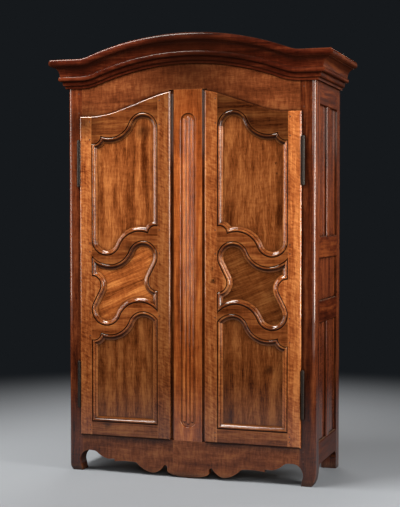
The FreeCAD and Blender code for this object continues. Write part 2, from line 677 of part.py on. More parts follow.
def door_pieces():
    """The left door: two stiles, four rails, three panels and the pegs of its joints."""
    openings = [upper_opening(), middle_opening(), lower_opening()]
    frame = door_blank().cut([moulded_opening(o) for o in openings])
    groove = MOULD_WIDTH - GROOVE_DEPTH
    back = PANEL_FRONT + PANEL_THICK
    frame = frame.cut([plate(inset(o, groove), PANEL_FRONT, back + PANEL_PLAY) for o in openings])
    panels = [plate(inset(o, groove + PANEL_PLAY), PANEL_FRONT, back) for o in openings]
    regions = stile_regions()
    stiles = [frame.common(r) for r in regions]
    rails = sorted(frame.cut(regions).Solids, key=lambda s: -s.CenterOfMass.z)
    pegs = []
    d0 = PANEL_FRONT + (PANEL_THICK - TENON_THICK) / 2
    d1 = d0 + TENON_THICK
    for k, (ends, side) in enumerate(zip(tenon_heights(), (-1, 1))):
        shoulder = DOOR_CENTRE + side * SPAN
        for n, (low, high) in enumerate(ends):
            z0, z1 = low + TENON_SHOULDER, high - TENON_SHOULDER
            tip, end = shoulder + side * TENON_LENGTH, shoulder + side * (TENON_LENGTH + TENON_PLAY)
            rails[n] = rails[n].fuse(slab(min(shoulder, tip), max(shoulder, tip), d0, d1, z0, z1))
            stiles[k] = stiles[k].cut(slab(min(shoulder, end), max(shoulder, end), d0, d1, z0, z1))
            places = {z0 + PEG_END, z1 - PEG_END} if z1 - z0 > 4 * PEG_END else {(z0 + z1) / 2}
            for z in sorted(places):
                x = shoulder + side * PEG_SET
                hole = rod(PEG_RADIUS + PEG_PLAY, -DOOR_PROUD, DOOR_BACK, x, z)
                pegs.append(rod(PEG_RADIUS, -DOOR_PROUD, DOOR_BACK, x, z))
                rails[n] = rails[n].cut(hole)
                stiles[k] = stiles[k].cut(hole)
    return stiles, rails, panels, pegs


# Front of the case
def apron_edge():
    """Lower edge of the apron from the centre line to the right post."""
    notch_end = LOBE_HALF + NOTCH_WIDTH
    notch_foot = NOTCH_TOP - NOTCH_WIDTH / 2
    crown = (LOBE_HALF + NOTCH_WIDTH / 2, NOTCH_TOP)
    cusp, swell, scroll = INNER - CUSP_IN, INNER - SWELL_IN, INNER - SCROLL_IN
    slope = ((swell + scroll) / 2, (SWELL_LOW + SCROLL_TOP) / 2)

    def bend(*points):
        return quarter([at(x, 0, z) for x, z in points])

    return [bend((0, LOBE_DROP), (LOBE_HALF, LOBE_DROP), (LOBE_HALF, LOBE_SHOULDER)),
            line((LOBE_HALF, LOBE_SHOULDER), (LOBE_HALF, notch_foot)),
            bend((LOBE_HALF, notch_foot), (LOBE_HALF, NOTCH_TOP), crown),
            bend(crown, (notch_end, NOTCH_TOP), (notch_end, notch_foot)),
            curve([(notch_end, notch_foot), (PENDANT_X, PENDANT_TIP), (BAY_X - BAY_FOOT, BAY_TOP - BAY_FALL),
                   (BAY_X, BAY_TOP)], (1, -1), (1, 0)),
            line((BAY_X, BAY_TOP), (cusp, CUSP_LOW)), line((cusp, CUSP_LOW), (cusp, CUSP_TOP)),
            curve([(cusp, CUSP_TOP), (swell, SWELL_LOW), slope, (scroll, SCROLL_TOP)], (1, 0), (1, 0)),
            curve([(scroll, SCROLL_TOP), (INNER, SCROLL_END)], (1, 0), (1, -1))]


def apron_blank():
    half = apron_edge()
    edges = half + [mirrored(e) for e in half]
    edges += chain([(INNER, SCROLL_END), (INNER, APRON_TOP), (-INNER, APRON_TOP), (-INNER, SCROLL_END)])
    return plate(face_of(edges), 0, RAIL_THICK)


def frieze_blank():
    """Frieze: arched below over the doors and above behind the cornice."""
    cornice_crown, turn = cornice_radii()
    flank_radius = CORNICE_FLANK_RADIUS - POST_HEAD
    crown_radius = cornice_crown + POST_HEAD
    hub = (0.0, POST_TOP + CORNICE_RISE - crown_radius)
    flank = (CORNICE_SPRING, POST_TOP + flank_radius)
    spring = (CORNICE_SPRING, POST_TOP)
    join = polar(hub, crown_radius, math.pi / 2 - turn)
    bend = arc(flank, spring, join, -1)
    low = SPRING - BODY_DROP
    edges = [bend, mirrored(bend), arc(hub, join, (-join[0], join[1]), 1)]
    edges += chain([spring, (CORNICE_SPRING, low), (-CORNICE_SPRING, low), (-CORNICE_SPRING, POST_TOP)])
    body = plate(face_of(edges), 0, RAIL_THICK)
    body = body.common(slab(-INNER, INNER, 0, RAIL_THICK, low, POST_TOP + 2 * CORNICE_RISE))
    return body.cut(arch_plate(-1, RAIL_THICK + 1, LIP_LAP, low - 1))


def centre_stile():
    """Stile between the doors: rebated edges, housed ends with tongues, and a reeded field."""
    middle = (RAIL_THICK - CASE_TENON_THICK) / 2
    housed = slab(-STILE_HALF, STILE_HALF, 0, STILE_THICK, STILE_LOW, STILE_HIGH)
    tongues = [slab(-STILE_FIELD, STILE_FIELD, middle, middle + CASE_TENON_THICK, z0, z1) for z0, z1 in
               ((STILE_LOW - TENON_LENGTH, STILE_LOW), (STILE_HIGH, STILE_HIGH + TENON_LENGTH))]
    rebate = slab(STILE_FIELD, STILE_HALF, 0, REBATE_DEPTH, STILE_LOW, STILE_HIGH)
    low, high = STILE_LOW + REED_FIELD_FOOT, STILE_HIGH - REED_FIELD_HEAD
    r = REED_FIELD_HALF
    edges = [line((-r, high - r), (-r, low + r)), arc((0, low + r), (-r, low + r), (r, low + r), 1),
             line((r, low + r), (r, high - r)), arc((0, high - r), (r, high - r), (-r, high - r), 1)]
    field = plate(face_of(edges), 0, REED_FIELD_DEPTH)
    stile = housed.cut([rebate, mirrored(rebate), field])
    stile = rounded(stile, REED_FIELD_ROUND,
                    lambda c: near(c.y, FRONT) and abs(c.x) < r + 1 and low - 1 < c.z < high + 1)
    for k in (-1, 0, 1):
        x, sunk = k * REED_PITCH, REED_RADIUS + REED_SINK
        short = REED_END + abs(k) * REED_STEP + REED_RADIUS
        foot, head = low + short, high - short
        reed = Part.makeCylinder(REED_RADIUS, head - foot, at(x, sunk, foot))
        reed = reed.multiFuse([Part.makeSphere(REED_RADIUS, at(x, sunk, z)) for z in (foot, head)])
        stile = stile.fuse(reed.common(field))
    return stile.multiFuse(tongues), [housed] + tongues


def front_post():
    """Right front post: rounded outer arris and a foot swept in on both sides and at the front."""
    toe, heel = INNER + FOOT_TOE, HALF - FOOT_SWEEP
    edges = chain([(INNER, SCROLL_END), (INNER, POST_TOP), (HALF, POST_TOP), (HALF, FOOT_HEIGHT)])
    edges += [curve([(HALF, FOOT_HEIGHT), (heel, 0)], (0, -1), (-1, -1)), line((heel, 0), (toe, 0)),
              curve([(toe, 0), (INNER + FOOT_WAIST, FOOT_WAIST_HEIGHT), (INNER, SCROLL_END)],
                    (1, 4), (-1, 1))]
    front_view = plate(face_of(edges), 0, POST_DEPTH)
    edges = chain([(0, FOOT_HEIGHT), (0, POST_TOP), (POST_DEPTH, POST_TOP), (POST_DEPTH, 0),
                   (FOOT_SETBACK, 0)])
    edges += [curve([(FOOT_SETBACK, 0), (0, FOOT_HEIGHT)], (-1, 4), (0, 1))]
    side_view = turned(plate(face_of(edges), 0, POST_WIDTH + 1))
    blank = slab(INNER - 1, HALF, 0, POST_DEPTH, -1, POST_TOP + 1)
    blank = rounded(blank, POST_ROUND, lambda c: near(c.x, HALF) and near(c.y, FRONT))
    return front_view.common(blank).common(side_view)


def tenoned(rail, post, low, high, peg_heights):
    """Tenon both ends of a front rail into the posts and peg them."""
    d0 = (RAIL_THICK - CASE_TENON_THICK) / 2
    z0, z1 = low + TENON_SHOULDER, high - TENON_SHOULDER
    tenon, mortise = [slab(INNER, INNER + CASE_TENON_LENGTH + play, d0, d0 + CASE_TENON_THICK, z0, z1)
                      for play in (0, TENON_PLAY)]
    x = INNER + CASE_PEG_SET
    holes = [rod(PEG_RADIUS + PEG_PLAY, 0, CASE_PEG_LENGTH, x, z) for z in peg_heights]
    pegs = [rod(PEG_RADIUS, 0, CASE_PEG_LENGTH, x, z) for z in peg_heights]
    rail = rail.multiFuse([tenon, mirrored(tenon)]).cut(holes + [mirrored(h) for h in holes])
    return rail, post.cut([mortise] + holes), pegs + [mirrored(p) for p in pegs]


# Sides
def side_levels():
    """Lower and upper height of the four rails of a side, from the bottom up."""
    lower = SIDE_BOTTOM_EDGE + SIDE_BOTTOM_RAIL + SIDE_LOWER_PANEL
    upper = lower + SIDE_MID_RAIL + SIDE_MIDDLE_PANEL
    return [(SIDE_BOTTOM_EDGE, SIDE_BOTTOM_EDGE + SIDE_BOTTOM_RAIL), (lower, lower + SIDE_MID_RAIL),
            (upper, upper + SIDE_MID_RAIL), (CORNICE_FOOT - SIDE_TOP_RAIL, POST_TOP)]


def side_bottom_rail(low, high):
    r = SIDE_BRACKET
    tip = low - r
    edges = chain([(SIDE_FRONT, tip), (SIDE_FRONT, high), (SIDE_BACK, high), (SIDE_BACK, tip)])
    edges += [arc((SIDE_BACK - r, tip), (SIDE_BACK, tip), (SIDE_BACK - r, low), 1),
              line((SIDE_BACK - r, low), (SIDE_FRONT + r, low)),
              arc((SIDE_FRONT + r, tip), (SIDE_FRONT + r, low), (SIDE_FRONT, tip), 1)]
    return turned(plate(face_of(edges), 0, SIDE_THICK))


def side_pieces(post, back_post):
    """Right side: rails, muntins and panels let into the two posts."""
    levels = side_levels()
    x0 = HALF - SIDE_THICK
    centre = (SIDE_FRONT + SIDE_BACK) / 2
    m0, m1 = centre - SIDE_MUNTIN / 2, centre + SIDE_MUNTIN / 2
    rails = [side_bottom_rail(*levels[0])]
    rails += [slab(x0, HALF, SIDE_FRONT, SIDE_BACK, low, high) for low, high in levels[1:]]
    bays = [(levels[k][1], levels[k + 1][0]) for k in range(3)]
    muntins = [slab(x0, HALF, m0, m1, *bays[k]) for k in (0, 2)]
    openings = [(d0, d1) + bays[k] for k in (0, 2) for d0, d1 in ((SIDE_FRONT, m0), (m1, SIDE_BACK))]
    openings.append((SIDE_FRONT, SIDE_BACK) + bays[1])
    marks = [z for bay in bays for z in bay]
    rails = [rounded(r, SIDE_ROUND, lambda c: near(c.x, HALF) and any(near(c.z, z) for z in marks))
             for r in rails]
    muntins = [rounded(m, SIDE_ROUND, lambda c: near(c.x, HALF) and abs(c.y - FRONT - centre) > 1
                       and not any(near(c.z, z) for z in marks)) for m in muntins]
    face = HALF - SIDE_SINK
    back = face - PANEL_THICK

    def let_in(grow, play):
        return [slab(back - play, face, d0 - grow, d1 + grow, z0 - grow, z1 + grow)
                for d0, d1, z0, z1 in openings]

    panels, grooves = let_in(SIDE_GROOVE - PANEL_PLAY, 0), let_in(SIDE_GROOVE, PANEL_PLAY)
    rails, muntins = [r.cut(grooves) for r in rails], [m.cut(grooves) for m in muntins]
    post, back_post = post.cut(grooves), back_post.cut(grooves)
    t0 = back + (PANEL_THICK - TENON_THICK) / 2
    t1 = t0 + TENON_THICK
    for n, (low, high) in enumerate(levels):
        z0, z1 = low + SIDE_GROOVE + TENON_SHOULDER, high - SIDE_GROOVE - TENON_SHOULDER
        reach, room = TENON_LENGTH, TENON_LENGTH + TENON_PLAY
        rails[n] = rails[n].fuse(slab(t0, t1, SIDE_FRONT - reach, SIDE_BACK + reach, z0, z1))
        post = post.cut(slab(t0, t1, SIDE_FRONT - room, SIDE_FRONT, z0, z1))
        back_post = back_post.cut(slab(t0, t1, SIDE_BACK, SIDE_BACK + room, z0, z1))
    half = SIDE_MUNTIN / 2 - SIDE_GROOVE - TENON_SHOULDER
    for muntin, below in ((0, 0), (1, 2)):
        low, high = bays[below]
        tongue, room = [slab(t0, t1, centre - half, centre + half, low - STUB_LENGTH - play,
                             high + STUB_LENGTH + play) for play in (0, TENON_PLAY)]
        muntins[muntin] = muntins[muntin].fuse(tongue)
        for rail in (below, below + 1):
            rails[rail] = rails[rail].cut(room)
    return post, back_post, rails, muntins, panels


# Back
def back_pieces(back_post):
    """Framed back: three rails and two muntins round four panels, tenoned into the back posts."""
    b0, b1 = BACK_FRONT, BACK_FRONT + BACK_THICK
    p0 = BACK_FRONT + (BACK_THICK - BACK_PANEL_THICK) / 2
    p1 = p0 + BACK_PANEL_THICK
    levels = [(BACK_BOTTOM, BACK_BOTTOM + BACK_RAIL), (BACK_MIDDLE, BACK_MIDDLE + BACK_RAIL),
              (POST_TOP - BACK_RAIL, POST_TOP)]
    bays = [(levels[k][1], levels[k + 1][0]) for k in (0, 1)]
    m = BACK_MUNTIN / 2
    rails = [slab(-INNER, INNER, b0, b1, low, high) for low, high in levels]
    muntins = [slab(-m, m, b0, b1, low, high) for low, high in bays]

    def let_in(grow, play):
        return [slab(x0 - grow, x1 + grow, p0, p1 + play, low - grow, high + grow)
                for low, high in bays for x0, x1 in ((-INNER, -m), (m, INNER))]

    panels, grooves = let_in(GROOVE_DEPTH - PANEL_PLAY, 0), let_in(GROOVE_DEPTH, PANEL_PLAY)
    rails, muntins = [r.cut(grooves) for r in rails], [t.cut(grooves) for t in muntins]
    back_post = back_post.cut(grooves)
    for n, (low, high) in enumerate(levels):
        z0, z1 = low + GROOVE_DEPTH + TENON_SHOULDER, high - GROOVE_DEPTH - TENON_SHOULDER
        reach, room = INNER + TENON_LENGTH, INNER + TENON_LENGTH + TENON_PLAY
        rails[n] = rails[n].fuse(slab(-reach, reach, p0, p1, z0, z1))
        back_post = back_post.cut(slab(-room, room, p0, p1, z0, z1))
    half = m - GROOVE_DEPTH - TENON_SHOULDER
    for k, (low, high) in enumerate(bays):
        tongue, room = [slab(-half, half, p0, p1, low - STUB_LENGTH - play,
                             high + STUB_LENGTH + play) for play in (0, TENON_PLAY)]
        muntins[k] = muntins[k].fuse(tongue)
        for rail in (k, k + 1):
            rails[rail] = rails[rail].cut(room)
    return back_post, rails, muntins, panels


# Inside
def boards(reach, d0, d1, low):
    """Boards laid side by side from front to back."""
    width = (d1 - d0) / BOARD_COUNT
    return [slab(-reach, reach, d0 + k * width, d0 + (k + 1) * width, low, low + BOARD_THICK)
            for k in range(BOARD_COUNT)]


def shelf_pieces():
    reach = INNER - SHELF_PLAY
    seats = [SHELF_FIRST + k * SHELF_STEP for k in range(SHELF_COUNT)]
    shelves = [slab(-reach, reach, SHELF_FRONT, BACK_FRONT, z, z + SHELF_THICK) for z in seats]
    cleats = []
    for z in [FLOOR_TOP - BOARD_THICK] + seats:
        right = slab(INNER - CLEAT_WIDTH, INNER, SHELF_FRONT, BACK_FRONT, z - CLEAT_HEIGHT, z)
        cleats += [right, mirrored(right)]
    return shelves, cleats


# Metalwork
def hinge(foot):
    """Right-hand hinge from a height up: pin half, knuckle half and their leaves."""
    middle, head = foot + HINGE_LENGTH / 2, foot + HINGE_LENGTH
    barrel = (HINGE_LENGTH - HINGE_SPLIT) / 2
    t = HINGE_LEAF / 2

    def upright(radius, length, z):
        return Part.makeCylinder(radius, length, at(PIVOT_X, PIVOT_DEPTH, z))

    def tip(z):
        return Part.makeSphere(HINGE_TIP, at(PIVOT_X, PIVOT_DEPTH, z))

    post_leaf = slab(PIVOT_X - t, PIVOT_X + t, PIVOT_DEPTH, HINGE_LEAF_DEPTH,
                     foot + HINGE_LEAF_INSET, middle - HINGE_LEAF_INSET)
    door_leaf = slab(DOOR_OUT - HINGE_LEAF_DEPTH, PIVOT_X, PIVOT_DEPTH - t, PIVOT_DEPTH + t,
                     middle + HINGE_LEAF_INSET, head - HINGE_LEAF_INSET)
    pin = upright(HINGE_PIN, HINGE_PIN_LENGTH, middle - HINGE_SPLIT)
    bore = upright(HINGE_PIN + HINGE_BORE_PLAY, HINGE_PIN_LENGTH + HINGE_SPLIT, middle - HINGE_SPLIT)
    pin_half = upright(HINGE_RADIUS, barrel, foot).multiFuse([tip(foot), post_leaf, pin])
    knuckle = upright(HINGE_RADIUS, barrel, head - barrel).multiFuse([tip(head), door_leaf]).cut(bore)
    return pin_half, knuckle, post_leaf, door_leaf


def lock_pieces():
    """Rim lock on the back of the right door: case, latch, keyhole, and the latch's mortise in the stile."""
    x0 = STILE_HALF + LOCK_EDGE
    x1, w = x0 + LOCK_WIDTH, LOCK_WALL
    z = MIDDLE + LOCK_RISE
    low, high = z - LOCK_HEIGHT / 2, z + LOCK_HEIGHT / 2
    back = DOOR_BACK + LOCK_DEPTH
    latch_z = z + LATCH_RISE
    middle, t, h = (DOOR_BACK + back) / 2, LATCH_THICK / 2, LATCH_HEIGHT / 2

    def latch_bar(from_x, to_x, play):
        return slab(from_x, to_x, middle - t - play, middle + t + play,
                    latch_z - h - play, latch_z + h + play)

    stud_x = x0 + LATCH_STUD_IN
    stud = rod(LATCH_STUD, middle - t, back - w / 2, stud_x, latch_z)
    slot = slab(stud_x - LATCH_STUD - LATCH_PLAY, stud_x + LATCH_STUD + LATCH_PLAY + LATCH_THROW,
                middle - t, middle + t, latch_z - LATCH_STUD - LATCH_PLAY, latch_z + LATCH_STUD + LATCH_PLAY)
    hollow = slab(x0 + w, x1 - w, DOOR_BACK, back - w, low + w, high - w)
    case = slab(x0, x1, DOOR_BACK, back, low, high)
    case = case.cut([hollow, latch_bar(x0, x0 + w, LATCH_PLAY)]).fuse(stud)
    latch = latch_bar(x0, x0 + LATCH_LENGTH, 0).cut(slot)
    mortise = latch_bar(x0 - LATCH_THROW - MORTISE_PLAY, STILE_HALF, MORTISE_PLAY)
    key_x = x0 + KEYHOLE_IN
    keyhole = [rod(KEYHOLE_RADIUS, -DOOR_PROUD, DOOR_BACK, key_x, z),
               slab(key_x - KEYHOLE_SLOT / 2, key_x + KEYHOLE_SLOT / 2, -DOOR_PROUD, DOOR_BACK,
                    z - KEYHOLE_LENGTH, z)]
    return case, latch, mortise, keyhole


def bolt_pieces(tip, way):
    """Withdrawn bolt on the back of the left door, pointing up or down: bolt, guides and its socket."""
    x, half = -DOOR_IN - BOLT_IN, BOLT_WIDTH / 2
    d0 = DOOR_BACK + BOLT_STANDOFF
    d1 = d0 + BOLT_THICK
    tail = tip - way * BOLT_LENGTH
    end = tip + way * (BOLT_THROW + MORTISE_PLAY)

    def bar(play, z0, z1):
        return slab(x - half - play, x + half + play, d0 - play, d1 + play, min(z0, z1), max(z0, z1))

    knob = rod(BOLT_KNOB, d1, d1 + BOLT_KNOB_LENGTH, x, (tip + tail) / 2)
    guides = [slab(x - GUIDE_WIDTH / 2, x + GUIDE_WIDTH / 2, DOOR_BACK, DOOR_BACK + GUIDE_DEPTH,
                   z - GUIDE_HEIGHT / 2, z + GUIDE_HEIGHT / 2).cut(bar(BOLT_PLAY, tip, tail))
              for z in (tip - way * GUIDE_SET, tail + way * GUIDE_SET)]
    return bar(0, tip, tail).fuse(knob), guides, bar(MORTISE_PLAY, tip, end)


def on_both_sides(name, shapes):
    """Store the right-hand pieces of the case and their mirrored twins."""
    pieces[name + "_right"] = shapes
    pieces[name + "_left"] = [mirrored(s) for s in shapes]


# Metalwork first, because the wood is cut to take it
lower_hinge = hinge(DOOR_BOTTOM + HINGE_FOOT)
upper_hinge = hinge(SPRING - HINGE_HEAD - HINGE_LENGTH)
pin_halves, knuckles, post_leaves, door_leaves = zip(lower_hinge, upper_hinge)
lock_case, latch, latch_mortise, keyhole = lock_pieces()
door_top = arch_height(DOOR_IN + BOLT_IN + BOLT_WIDTH / 2) - BODY_DROP
upper_bolt, upper_guides, upper_socket = bolt_pieces(door_top - BOLT_RETRACT, 1)
lower_bolt, lower_guides, lower_socket = bolt_pieces(APRON_TOP + DOOR_GAP + BOLT_RETRACT, -1)
pieces["lock_case"] = [lock_case]
pieces["lock_bolt"] = [latch]
pieces["upper_bolt"] = [upper_bolt]
pieces["lower_bolt"] = [lower_bolt]
pieces["bolt_guides"] = upper_guides + lower_guides
for side, turn in (("right", lambda shape: shape), ("left", mirrored)):
    pieces[side + "_hinge_pins"] = [turn(s) for s in pin_halves]
    pieces[side + "_hinge_knuckles"] = [turn(s) for s in knuckles]

# Doors, the right one the mirrored twin of the left with the keyhole added
(hinge_stile, meeting_stile), rails, panels, pegs = door_pieces()
hinge_stile = hinge_stile.cut([mirrored(leaf) for leaf in door_leaves])
left_door = {"hinge_stile": [hinge_stile], "meeting_stile": [meeting_stile], "door_pegs": pegs}
for name, rail in zip(("top_rail", "upper_mid_rail", "lower_mid_rail", "bottom_rail"), rails):
    left_door[name] = [rail]
for name, panel in zip(("upper_panel", "middle_panel", "lower_panel"), panels):
    left_door[name] = [panel]
for name, shapes in left_door.items():
    pieces["left_" + name] = shapes
    pieces["right_" + name] = [mirrored(s) for s in shapes]
pieces["right_meeting_stile"] = [mirrored(meeting_stile).cut(keyhole)]

# Case, framed on its right-hand post
stile, housings = centre_stile()
post = front_post().cut(list(post_leaves))
apron, post, apron_pegs = tenoned(
    apron_blank(), post, SCROLL_END, APRON_TOP,
    (SCROLL_END + TENON_SHOULDER + CASE_PEG_END, APRON_TOP - TENON_SHOULDER - CASE_PEG_END))
frieze_low = SPRING - LIP_LAP
frieze, post, frieze_pegs = tenoned(
    frieze_blank(), post, frieze_low, POST_TOP,
    (frieze_low + TENON_SHOULDER + CASE_PEG_END, CORNICE_FOOT - TENON_SHOULDER - CASE_PEG_END))
apron = apron.cut(housings + [lower_socket])
left_of_joint = slab(-CASE_WIDTH, APRON_JOINT, -1, RAIL_THICK + 1, -1, APRON_TOP + 1)
back_post = slab(INNER, HALF, SIDE_BACK, CASE_DEPTH, 0, POST_TOP)
post, back_post, side_rails, side_muntins, side_panels = side_pieces(post, back_post)
back_post, back_rails, back_muntins, back_panels = back_pieces(back_post)
cornice_front, cornice_side = cornice_pieces()
shelves, cleats = shelf_pieces()
pieces["centre_stile"] = [stile.cut(latch_mortise)]
pieces["frieze_rail"] = [frieze.cut(housings + [upper_socket])]
pieces["apron_left"] = [apron.common(left_of_joint)]
pieces["apron_right"] = [apron.cut(left_of_joint)]
pieces["case_pegs"] = apron_pegs + frieze_pegs
on_both_sides("front_post", [post])
on_both_sides("back_post", [back_post])
on_both_sides("side_bottom_rail", side_rails[:1])
on_both_sides("side_mid_rails", side_rails[1:3])
on_both_sides("side_top_rail", side_rails[3:])
on_both_sides("side_muntins", side_muntins)
on_both_sides("side_panels", side_panels)
on_both_sides("cornice", [cornice_side])
pieces["cornice_front"] = [cornice_front]
pieces["back_rails"] = back_rails
pieces["back_muntins"] = back_muntins
pieces["back_panels"] = back_panels
pieces["shelves"] = shelves
pieces["cleats"] = cleats
pieces["floor_boards"] = boards(INNER - SHELF_PLAY, RAIL_THICK, BACK_FRONT, FLOOR_TOP - BOARD_THICK)
pieces["top_boards"] = boards(HALF, RAIL_THICK, CASE_DEPTH, POST_TOP)

os.makedirs("parts", exist_ok=True)
for name, shapes in pieces.items():
    solids = [solid for shape in shapes for solid in shape.Solids]
    whole = solids[0] if len(solids) == 1 else Part.makeCompound(solids)
    whole.exportStep("parts/" + name + ".step")
    print(name, len(solids))
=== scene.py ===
# %% [markdown]
# # Dressing a walnut armoire
# The construction of this two-door armoire comes ready made as a frame of separate pieces: posts, rails,
# doors, panels, hinges, a lock and bolts, each in its place and at its real size. This lesson gives every
# piece its finish, lights it and sets up the camera. Nothing of the frame is moved or resized on the way.

# %% Load the frame and keep its box
import math

import bpy
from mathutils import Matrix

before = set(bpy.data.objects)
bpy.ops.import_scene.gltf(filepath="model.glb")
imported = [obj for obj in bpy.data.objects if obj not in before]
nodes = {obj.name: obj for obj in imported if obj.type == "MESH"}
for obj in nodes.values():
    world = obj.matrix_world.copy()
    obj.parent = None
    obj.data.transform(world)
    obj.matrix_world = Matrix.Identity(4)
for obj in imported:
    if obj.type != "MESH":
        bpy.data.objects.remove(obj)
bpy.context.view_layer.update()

# %% [markdown]
# ## Three small tools
# Colours are picked on a screen, so they are written as the hex values a screen uses. Shaders work
# with linear light, and one function turns one into the other.
#
# A material is a tree of nodes. Wiring it by hand in the editor is fine for one; for a family of finishes
# a script is quicker to compare and to change. One function starts a material with an empty tree. Another
# adds a node, sets its options and fills its sockets: a plain value is typed in, and an output of another
# node is linked. Sockets are called by name, or by number where they have no telling names. Two nodes have
# several sockets of one name, for different kinds of data: the colour mix, and the range that stretches
# one span of values over another. Their numbers get names here.


# %% Colour and node helpers
def linear(hex_colour):
    """Linear RGBA of an sRGB hex colour."""
    parts = [int(hex_colour[k:k + 2], 16) / 255 for k in (1, 3, 5)]
    return [c / 12.92 if c <= 0.04045 else ((c + 0.055) / 1.055) ** 2.4 for c in parts] + [1.0]


def add(tree, kind, sockets=None, **settings):
    """Add a node with its settings; each socket gets a value, or a link where the value is an output."""
    node = tree.nodes.new("ShaderNode" + kind)
    for name, value in settings.items():
        setattr(node, name, value)
    for key, value in (sockets or {}).items():
        if isinstance(value, bpy.types.NodeSocket):
            tree.links.new(value, node.inputs[key])
        else:
            node.inputs[key].default_value = value
    return node


def blank(name):
    """A material with an empty node tree."""
    material = bpy.data.materials.new(name)
    material.use_nodes = True
    material.node_tree.nodes.clear()
    return material, material.node_tree


SHARE, UNDER, OVER, MIXED = 0, 6, 7, 2       # inputs of a colour mix, and its output
START, FULL, AT_START, AT_FULL = 1, 2, 3, 4  # inputs of a range: its two ends, and what it gives there
print("linear", [round(c, 3) for c in linear("#8c4a24")[:3]], "from #8c4a24")

# %% [markdown]
# ## Camera
# The picture was taken from a little right of the centre line, at chest height, with a long lens that
# keeps the uprights upright. The lens is written as the focal length in pixels of a 400 by 507 picture,
# because that is what a fit to the corners of the case gives. Blender wants millimetres on a 36 mm
# sensor, whose width is the long side of the picture.

# %% Camera at the viewing angle
PICTURE_LONG_SIDE = 507          # pixels
FOCAL_PIXELS = 1190.0
SENSOR = 36.0                    # mm along the long side
CAMERA_PLACE = (2.125, -6.266, 1.417)
CAMERA_TURN = 18.91              # degrees to the left of straight ahead
CAMERA_DIP = 1.85                # degrees below the horizon

camera = bpy.data.objects.new("camera", bpy.data.cameras.new("camera"))
bpy.context.scene.collection.objects.link(camera)
camera.data.sensor_width = SENSOR
camera.data.lens = FOCAL_PIXELS / PICTURE_LONG_SIDE * SENSOR
camera.location = CAMERA_PLACE
camera.rotation_euler = [math.radians(a) for a in (90 - CAMERA_DIP, 0, CAMERA_TURN)]
bpy.context.scene.camera = camera
print(f"lens {camera.data.lens:.1f} mm at {CAMERA_PLACE}")

# %% [markdown]
# ## Floor and surroundings
# A studio floor is a wide sheet of pale matt paper. Near the armoire it is an ordinary diffuse surface,
# so that it takes the shadow. Far away it fades into a faint glow of the surroundings' colour, painted
# darkness where the paper lies out of the lamps' light, and no horizon cuts through the picture. The fade
# depends on the distance from the armoire alone, so every view has it.

# %% Floor
FLOOR_HALF = 40.0                # m
FADE_START, FADE_END = 1.3, 4.4  # m from the armoire
CLOUDS_PER_METRE = 1.5
CLOUD_DETAIL = 3.0
CLOUD_DARK = 0.96                # tone of the darkest cloud in the paper
FLOOR_COLOUR = "#929ba5"
ROOM_COLOUR = "#16191c"


def paper_floor():
    """Paper off a roll, uncoated: to the eye an even pale grey with no gloss and a faint cloudiness; far away
    it fades into painted darkness.
    """
    material, tree = blank("studio_paper_matt")
    place = add(tree, "TexCoord").outputs["Object"]
    cloud = add(tree, "TexNoise", {"Vector": place, "Scale": CLOUDS_PER_METRE, "Detail": CLOUD_DETAIL})
    tint = add(tree, "MapRange", {"Value": cloud.outputs["Fac"], AT_START: CLOUD_DARK}).outputs[0]
    colour = add(tree, "Mix", {SHARE: 1.0, UNDER: linear(FLOOR_COLOUR), OVER: tint}, data_type="RGBA",
                 blend_type="MULTIPLY").outputs[MIXED]
    paper = add(tree, "BsdfDiffuse", {"Color": colour}).outputs[0]
    # painted shade: far away the floor is a faint glow in the room's colour instead of lit paper
    painted_far_dark = add(tree, "Emission", {"Color": linear(ROOM_COLOUR)}).outputs[0]
    reach = add(tree, "VectorMath", {0: place}, operation="LENGTH").outputs["Value"]
    fade = add(tree, "MapRange", {"Value": reach, START: FADE_START, FULL: FADE_END},
               interpolation_type="SMOOTHSTEP").outputs[0]
    mixed = add(tree, "MixShader", {0: fade, 1: paper, 2: painted_far_dark}).outputs[0]
    add(tree, "OutputMaterial", {"Surface": mixed})
    return material


floor_mesh = bpy.data.meshes.new("floor")
corners = [(x * FLOOR_HALF, y * FLOOR_HALF, 0.0) for x, y in ((-1, -1), (1, -1), (1, 1), (-1, 1))]
floor_mesh.from_pydata(corners, [], [(0, 1, 2, 3)])
floor = bpy.data.objects.new("floor", floor_mesh)
floor.data.materials.append(paper_floor())
bpy.context.scene.collection.objects.link(floor)
print("floor", floor.dimensions[:2])

# %% [markdown]
# The rest of the studio is a dark even room, the same colour that the floor fades into. A plain world
# colour is enough for that. The Standard view shows colours as they are written, without a film's curve.

# %% Room
world = bpy.data.worlds.new("room")
world.use_nodes = True
world.node_tree.nodes["Background"].inputs["Color"].default_value = linear(ROOM_COLOUR)
bpy.context.scene.world = world
bpy.context.scene.view_settings.view_transform = "Standard"
print("room", ROOM_COLOUR)

# %% [markdown]
# ## Light
# Waxed wood is a mirror with a soft focus, so the lamps are placed by what they draw on it. A long box,
# high on the left, gives about half of the light on the front and the shadows under the mouldings. On
# each side a narrow bright strip draws the thin lines along the beads. They stand so far out that flat
# doors mirror them only at a grazing angle; nearer to the camera they would lie on the doors as white
# patches in a view from the corner. A broad weak box beside each strip fills the hollows, and the right
# pair is the stronger one. One box above the camera lifts the fronts, and two behind the armoire keep
# its back readable. Together they come near the level at which a colour renders as it is written.

